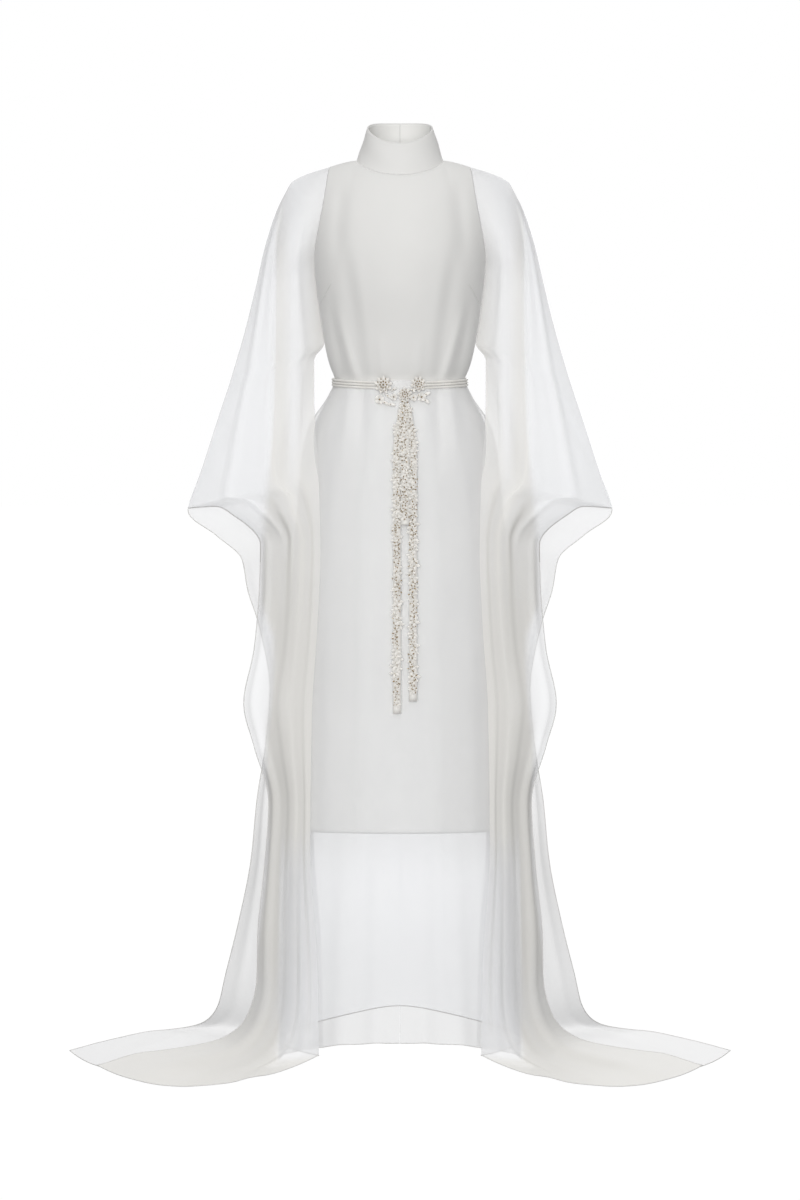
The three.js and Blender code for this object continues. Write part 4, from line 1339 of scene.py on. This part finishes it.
def petal(length_mm, width, cup):
    """One petal along +Z in the XZ plane, cupped towards -Y, as a thin closed shell's points and faces."""
    rows = [(0.0, 0.1), (0.35, 0.75), (0.7, 1.0), (0.93, 0.62), (1.0, 0.12)]
    verts = []
    for back in (0, 1):
        for along, wide in rows:
            for across in (-1, 0, 1):
                y = -cup * (along**2) - 0.12 * cup * abs(across)
                y += PETAL_THICK * back * (1 - 0.5 * abs(across))
                verts.append((across * wide * width / 2, y, along * length_mm))
    faces = []
    count = len(rows) * 3
    for r in range(len(rows) - 1):
        for c in range(2):
            a = r * 3 + c
            faces.append((a, a + 1, a + 4, a + 3))
            faces.append((count + a, count + a + 3, count + a + 4, count + a + 1))
        a, b = r * 3, r * 3 + 2
        faces.append((a, a + 3, count + a + 3, count + a))
        faces.append((b + 3, b, count + b, count + b + 3))
    faces += [(1, 0, count, count + 1), (2, 1, count + 1, count + 2)]
    e = count - 3
    faces += [(e, e + 1, count + e + 1, count + e), (e + 1, e + 2, count + e + 2, count + e + 1)]
    return np.array(verts, float), faces


def bead_petal(long, wide, cup):
    """A plump petal with eight faces."""
    root, tip = (0, 0, 0), (0, -cup * 1.3, long)
    left, right = (-wide / 2, -cup, 0.6 * long), (wide / 2, -cup, 0.6 * long)
    crown, under = (0, -cup * 1.6, 0.55 * long), (0, 0.2 * cup, 0.6 * long)
    faces = [(0, 1, 4), (0, 4, 2), (4, 1, 3), (2, 4, 3), (0, 5, 1), (0, 2, 5), (5, 3, 1), (2, 3, 5)]
    return np.array([root, left, right, tip, crown, under], float), faces


def spun(verts, angle, place=(0, 0, 0)):
    """Points turned about the Y axis and moved."""
    c, s = math.cos(angle), math.sin(angle)
    x, z = verts[:, 0], verts[:, 2]
    return np.stack([c * x + s * z, verts[:, 1], c * z - s * x], -1) + np.array(place)


def joined(name, parts, material, smooth=True):
    """Several sets of points and faces as one mesh object."""
    verts, faces = [], []
    for part, part_faces in parts:
        start = len(verts)
        verts += (part * MM).tolist()
        faces += [tuple(start + k for k in face) for face in part_faces]
    mesh = bpy.data.meshes.new(name)
    mesh.from_pydata(verts, [], faces)
    mesh.materials.append(material)
    if smooth:
        mesh.shade_smooth()
    return put(mesh, name)


def ball(radius, place, rings=5, sides=8):
    """A ball's points and faces."""
    verts = [(0, -radius, 0)]
    for r in range(1, rings):
        a = math.pi * r / rings
        for s in range(sides):
            b = 2 * math.pi * s / sides
            out = radius * math.sin(a)
            verts.append((out * math.cos(b), -radius * math.cos(a), out * math.sin(b)))
    verts.append((0, radius, 0))
    last = len(verts) - 1
    faces = []
    for s in range(sides):
        n = (s + 1) % sides
        faces.append((0, 1 + s, 1 + n))
        for r in range(rings - 2):
            a, b = 1 + r * sides, 1 + (r + 1) * sides
            faces.append((a + s, b + s, b + n, a + n))
        end = 1 + (rings - 2) * sides
        faces.append((end + s, last, end + n))
    return np.array(verts, float) + np.array(place), faces


def flower_parts(radius, petals, cup, turn=0.0, place=(0, 0, 0), width=None):
    """A ring of petals, which overlap a little where no width is given."""
    wide = width or 2.1 * radius * math.sin(math.pi / petals)
    verts, faces = petal(radius, wide, cup)
    return [(spun(verts, turn + 2 * math.pi * k / petals, place), faces) for k in range(petals)]


def front_of(x, z, clear):
    """The point clear of the dress's front at x and z."""
    return around(turn_at(x, z, clear), z, clear)


class KAFTAN_OT_belt(Maker, bpy.types.Operator):
    """The belt's three cords, from rosette to rosette round the back"""

    bl_idname = "kaftan.belt"
    bl_label = "Belt cords"

    def make(self, p, belt, stage):
        ends = [float(turn_at(r["x"], WAIST - BELT_DIP, BELT["clear"])) for r in ROSETTES[:2]]
        turns = np.linspace(ends[1], 360 + ends[0], 240)
        z = WAIST - BELT_DIP * ((1 + np.cos(np.radians(turns))) / 2) ** 2
        paths = []
        for k in range(BELT["cords"]):
            path = around(turns, z, BELT["clear"] - BELT["sunk"])
            path[:, 2] += (k - (BELT["cords"] - 1) / 2) * BELT["cord"]
            paths.append(path)
        cords = tubes("belt_cords", paths, belt.cord_radius, cord_material(belt), 10)
        settle(cords, "cord", "belt_band")


class KAFTAN_OT_rosettes(Maker, bpy.types.Operator):
    """The rosettes and the sprays beside them"""

    bl_idname = "kaftan.rosettes"
    bl_label = "Rosettes"

    def make(self, p, belt, stage):
        pearly = petal_material(belt)
        gold = bead_material(belt)
        for r in ROSETTES:
            y = front_of(r["x"], r["z"], ROSETTE_CLEAR)[1]
            place = np.array([r["x"], y - 0.5, r["z"]])
            petals = []
            for ring in PETAL_RINGS:
                radius, turn = r["radius"] * ring["radius"], r["turn"] + ring["turn"]
                middle, width = place - [0, ring["out"], 0], ring["width"] * r["radius"]
                petals += flower_parts(radius, ring["petals"], ring["cup"], turn, middle, width)
            flower = joined(f"belt_rosette_{r['name']}", petals, pearly)
            settle(flower, "flower", f"rosette_{r['name']}")
            verts, faces = ball(r["radius"] * 0.8, (0, 0, 0), 6, 16)
            backing = (verts * [1, 0.07, 1] + place + [0, 0.4, 0], faces)
            beads = [backing, ball(r["radius"] * 0.1, place - [0, 3.6, 0])]
            for k in range(8):
                for ring in BEAD_RINGS:
                    a = 2 * math.pi * k / 8 + r["turn"] + ring["turn"]
                    spot = place + np.array([math.sin(a), 0, math.cos(a)]) * r["radius"] * ring["at"]
                    beads.append(ball(r["radius"] * ring["radius"], spot - [0, ring["out"], 0], 4, 6))
            settle(joined(f"belt_rosette_beads_{r['name']}", beads, gold), "flower")
        for hand, pieces in SPRAYS.items():
            leaves, beads = [], []
            for k, s in enumerate(pieces):
                y = front_of(s["x"], s["z"], ROSETTE_CLEAR)[1] - 0.6 * (k % 2)
                place = (s["x"], y, s["z"])
                if s["petals"]:
                    leaves += flower_parts(s["long"], s["petals"], 1.2, 0.2, place)
                    beads.append(ball(s["long"] * 0.22, (s["x"], y - 1.2, s["z"]), 4, 7))
                else:
                    verts, faces = petal(2 * s["long"], s["long"] * 0.75, 0.8)
                    leaves.append((spun(verts - [0, 0, s["long"]], math.radians(s["turn"]), place), faces))
                    beads.append(ball(0.9, (s["x"], y - 1.3, s["z"]), 4, 6))
            settle(joined(f"belt_spray_{hand}", leaves, pearly), "flower", f"spray_{hand}")
            settle(joined(f"belt_spray_beads_{hand}", beads, gold), "flower")


class KAFTAN_OT_strands(Maker, bpy.types.Operator):
    """The hanging strands: tape, small flowers, and their gold beads and strokes, which partly paint the shade in the
    strand's gaps
    """

    bl_idname = "kaftan.strands"
    bl_label = "Flower strands"

    def make(self, p, belt, stage):
        pearly = petal_material(belt)
        gold = bead_material(belt)
        radius = belt.flower_radius / MM
        verts, faces = bead_petal(radius, radius * 0.6, 1.7)
        petals = [(spun(verts, 2 * math.pi * k / 5), faces) for k in range(5)]
        flower = joined("flower_pattern", petals, pearly, smooth=False)
        # Dark gold strokes by each small flower's middle: partly gold specks, partly painted shade in the strand's
        # gaps.
        verts, faces = bead_petal(radius * 0.5, radius * 0.24, 0.5)
        gold_and_shade_strokes = [(spun(verts + [0, -1.9, radius * 0.2], a), faces) for a in GOLD_AND_SHADE_STROKES]
        middle = ball(radius * 0.12, (0, -2.3, 0), 3, 5)
        centre = joined("centre_pattern", gold_and_shade_strokes + [middle], gold, smooth=False)
        kinds = (("flowers", flower, pearly, 1, 0), ("beads", centre, gold, 0.95, 5))
        tree = tree_named("flowers along a path", scatter_tree)
        for k, s in enumerate(STRANDS):
            z = np.linspace(s["top"], s["low"], 60)
            knot = STRANDS[-1]["x"]
            start = mix(knot, s["x"], 0.35)
            x = mix(start, s["x"], fade(s["top"] + 5, s["top"] - 70, z))
            path = front_of(x, z, STRAND_CLEAR + s["out"])
            grid = np.stack([path + [dx, 0, 0] for dx in (-TAPE_HALF, 0, TAPE_HALF)], 1)
            tape = cloth(f"strand_tape_{s['name']}", grid, cord_material(belt), 0.0008)
            settle(tape, "flower", f"strand_{s['name']}")
            hung = path[z > s["low"] + TAPE_TAB] - [0, 1.0, 0]
            for word, piece, material, share, step in kinds:
                line = path_mesh(f"strand_{word}_{s['name']}", [hung])
                sizes = dict(pitch=belt.flower_pitch * share, sway=0.0036, smallest=0.65, largest=1.15)
                seed = belt.seed + 10 * k + step
                settle(grown(line, tree, piece=piece, material=material, seed=seed, **sizes), "flower")
        for pattern in (flower, centre):
            bpy.data.objects.remove(pattern)


class KAFTAN_OT_stage(Maker, bpy.types.Operator):
    """A plain pale floor, soft light and the camera"""

    bl_idname = "kaftan.stage"
    bl_label = "Floor, light and camera"

    def make(self, p, belt, stage):
        scene = bpy.context.scene
        mesh = bpy.data.meshes.new("floor")
        size, z = 60, FLOOR * MM
        corners = [(-size, -size, z), (size, -size, z), (size, size, z), (-size, size, z)]
        mesh.from_pydata(corners, [], [(0, 1, 2, 3)])
        mat, tree, shader = base_material("pale floor", (0.04, 0.04, 0.04), 1)
        shader.inputs["Specular IOR Level"].default_value = 0.0
        shader.inputs["Emission Color"].default_value = (1, 1, 1, 1)
        seen = tree.nodes.new("ShaderNodeLightPath").outputs["Is Camera Ray"]
        tree.links.new(ramp(tree, seen, 0, 1, stage.floor_light, 0.98), shader.inputs["Emission Strength"])
        mesh.materials.append(mat)
        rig.stage(put(mesh, "floor"))
        scene.world = self.studio(stage)
        for box in SOFTBOXES:
            self.softbox(box["name"], box["place"], stage.key_power * box["share"])
        data = bpy.data.cameras.new("camera")
        camera = put(data, "camera")
        camera.location = (0, -stage.camera_distance, FLOOR * MM + stage.camera_height)
        camera.rotation_euler = (math.pi / 2 - stage.camera_tilt, 0, 0)
        data.sensor_width = LENS["sensor"]
        data.lens = LENS["focal"]
        scene.camera = camera
        scene.view_settings.view_transform = "Standard"
        scene.cycles.transparent_max_bounces = 48

    def studio(self, stage):
        """A world seen as white, that lights more from overhead and less from the sides."""
        world = bpy.data.worlds.new("studio")
        world.use_nodes = True
        tree = world.node_tree
        new, link = tree.nodes.new, tree.links.new
        light, seen = tree.nodes["Background"], new("ShaderNodeBackground")
        for background in (light, seen):
            background.inputs["Color"].default_value = (1, 1, 1, 1)
        way, split = new("ShaderNodeTexCoord"), new("ShaderNodeSeparateXYZ")
        link(way.outputs["Generated"], split.inputs[0])
        up = maths(tree, "MULTIPLY", maths(tree, "MAXIMUM", split.outputs["Z"], 0), stage.top_light)
        aside = maths(tree, "MULTIPLY", maths(tree, "ABSOLUTE", split.outputs["X"], 0), stage.side_shade)
        even = maths(tree, "ADD", up, stage.sky_light)
        link(maths(tree, "SUBTRACT", even, aside), light.inputs["Strength"])
        path, blend = new("ShaderNodeLightPath"), new("ShaderNodeMixShader")
        link(path.outputs["Is Camera Ray"], blend.inputs["Fac"])
        link(light.outputs[0], blend.inputs[1])
        link(seen.outputs[0], blend.inputs[2])
        link(blend.outputs[0], tree.nodes["World Output"].inputs["Surface"])
        return world

    def softbox(self, name, place, power):
        """A square soft light, turned to the dress's middle."""
        data = bpy.data.lights.new(name, "AREA")
        data.shape, data.energy = "RECTANGLE", power
        data.size = data.size_y = SOFTBOX_SIZE
        lamp = put(data, name)
        lamp.location = place
        x, y, z = (a - b for a, b in zip(SOFTBOX_AIM, place))
        lamp.rotation_euler = (math.atan2(math.hypot(x, y), -z), 0, math.atan2(y, x) - math.pi / 2)


class KAFTAN_PT_panel(bpy.types.Panel):
    """The dress's sizes and the buttons that make its pieces"""

    bl_idname = "KAFTAN_PT_panel"
    bl_label = "Kaftan dress"
    bl_space_type = "VIEW_3D"
    bl_region_type = "UI"
    bl_category = "Kaftan"

    def draw(self, context):
        for name in ("kaftan_cloth", "kaftan_belt", "kaftan_stage"):
            group = getattr(context.scene, name)
            box = self.layout.box()
            for prop in group.bl_rna.properties:
                if prop.identifier not in ("rna_type", "name"):
                    box.prop(group, prop.identifier)
        for maker in MAKERS:
            self.layout.operator(maker.bl_idname)


MAKERS = (
    KAFTAN_OT_stage,
    KAFTAN_OT_crepe,
    KAFTAN_OT_collar,
    KAFTAN_OT_belt,
    KAFTAN_OT_skirt,
    KAFTAN_OT_wings,
    KAFTAN_OT_rosettes,
    KAFTAN_OT_strands,
)
GROUPS = {"kaftan_cloth": KAFTAN_PG_cloth, "kaftan_belt": KAFTAN_PG_belt, "kaftan_stage": KAFTAN_PG_stage}
CLASSES = (*GROUPS.values(), *MAKERS, KAFTAN_PT_panel)


def register():
    for cls in CLASSES:
        bpy.utils.register_class(cls)
    for name, group in GROUPS.items():
        setattr(bpy.types.Scene, name, bpy.props.PointerProperty(type=group))


def unregister():
    for name in GROUPS:
        delattr(bpy.types.Scene, name)
    for cls in reversed(CLASSES):
        bpy.utils.unregister_class(cls)


def main():
    """Makes the whole dress and notes its box beside the solids'."""
    register()
    for maker in MAKERS:
        family, name = maker.bl_idname.split(".")
        getattr(getattr(bpy.ops, family), name)()
    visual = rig.bounds()
    with open("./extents.json", "w") as file:
        json.dump({"cad": [list(corner) for corner in CAD_BOX], "visual": [list(corner) for corner in visual]}, file)


if __name__ == "__main__":
    main()
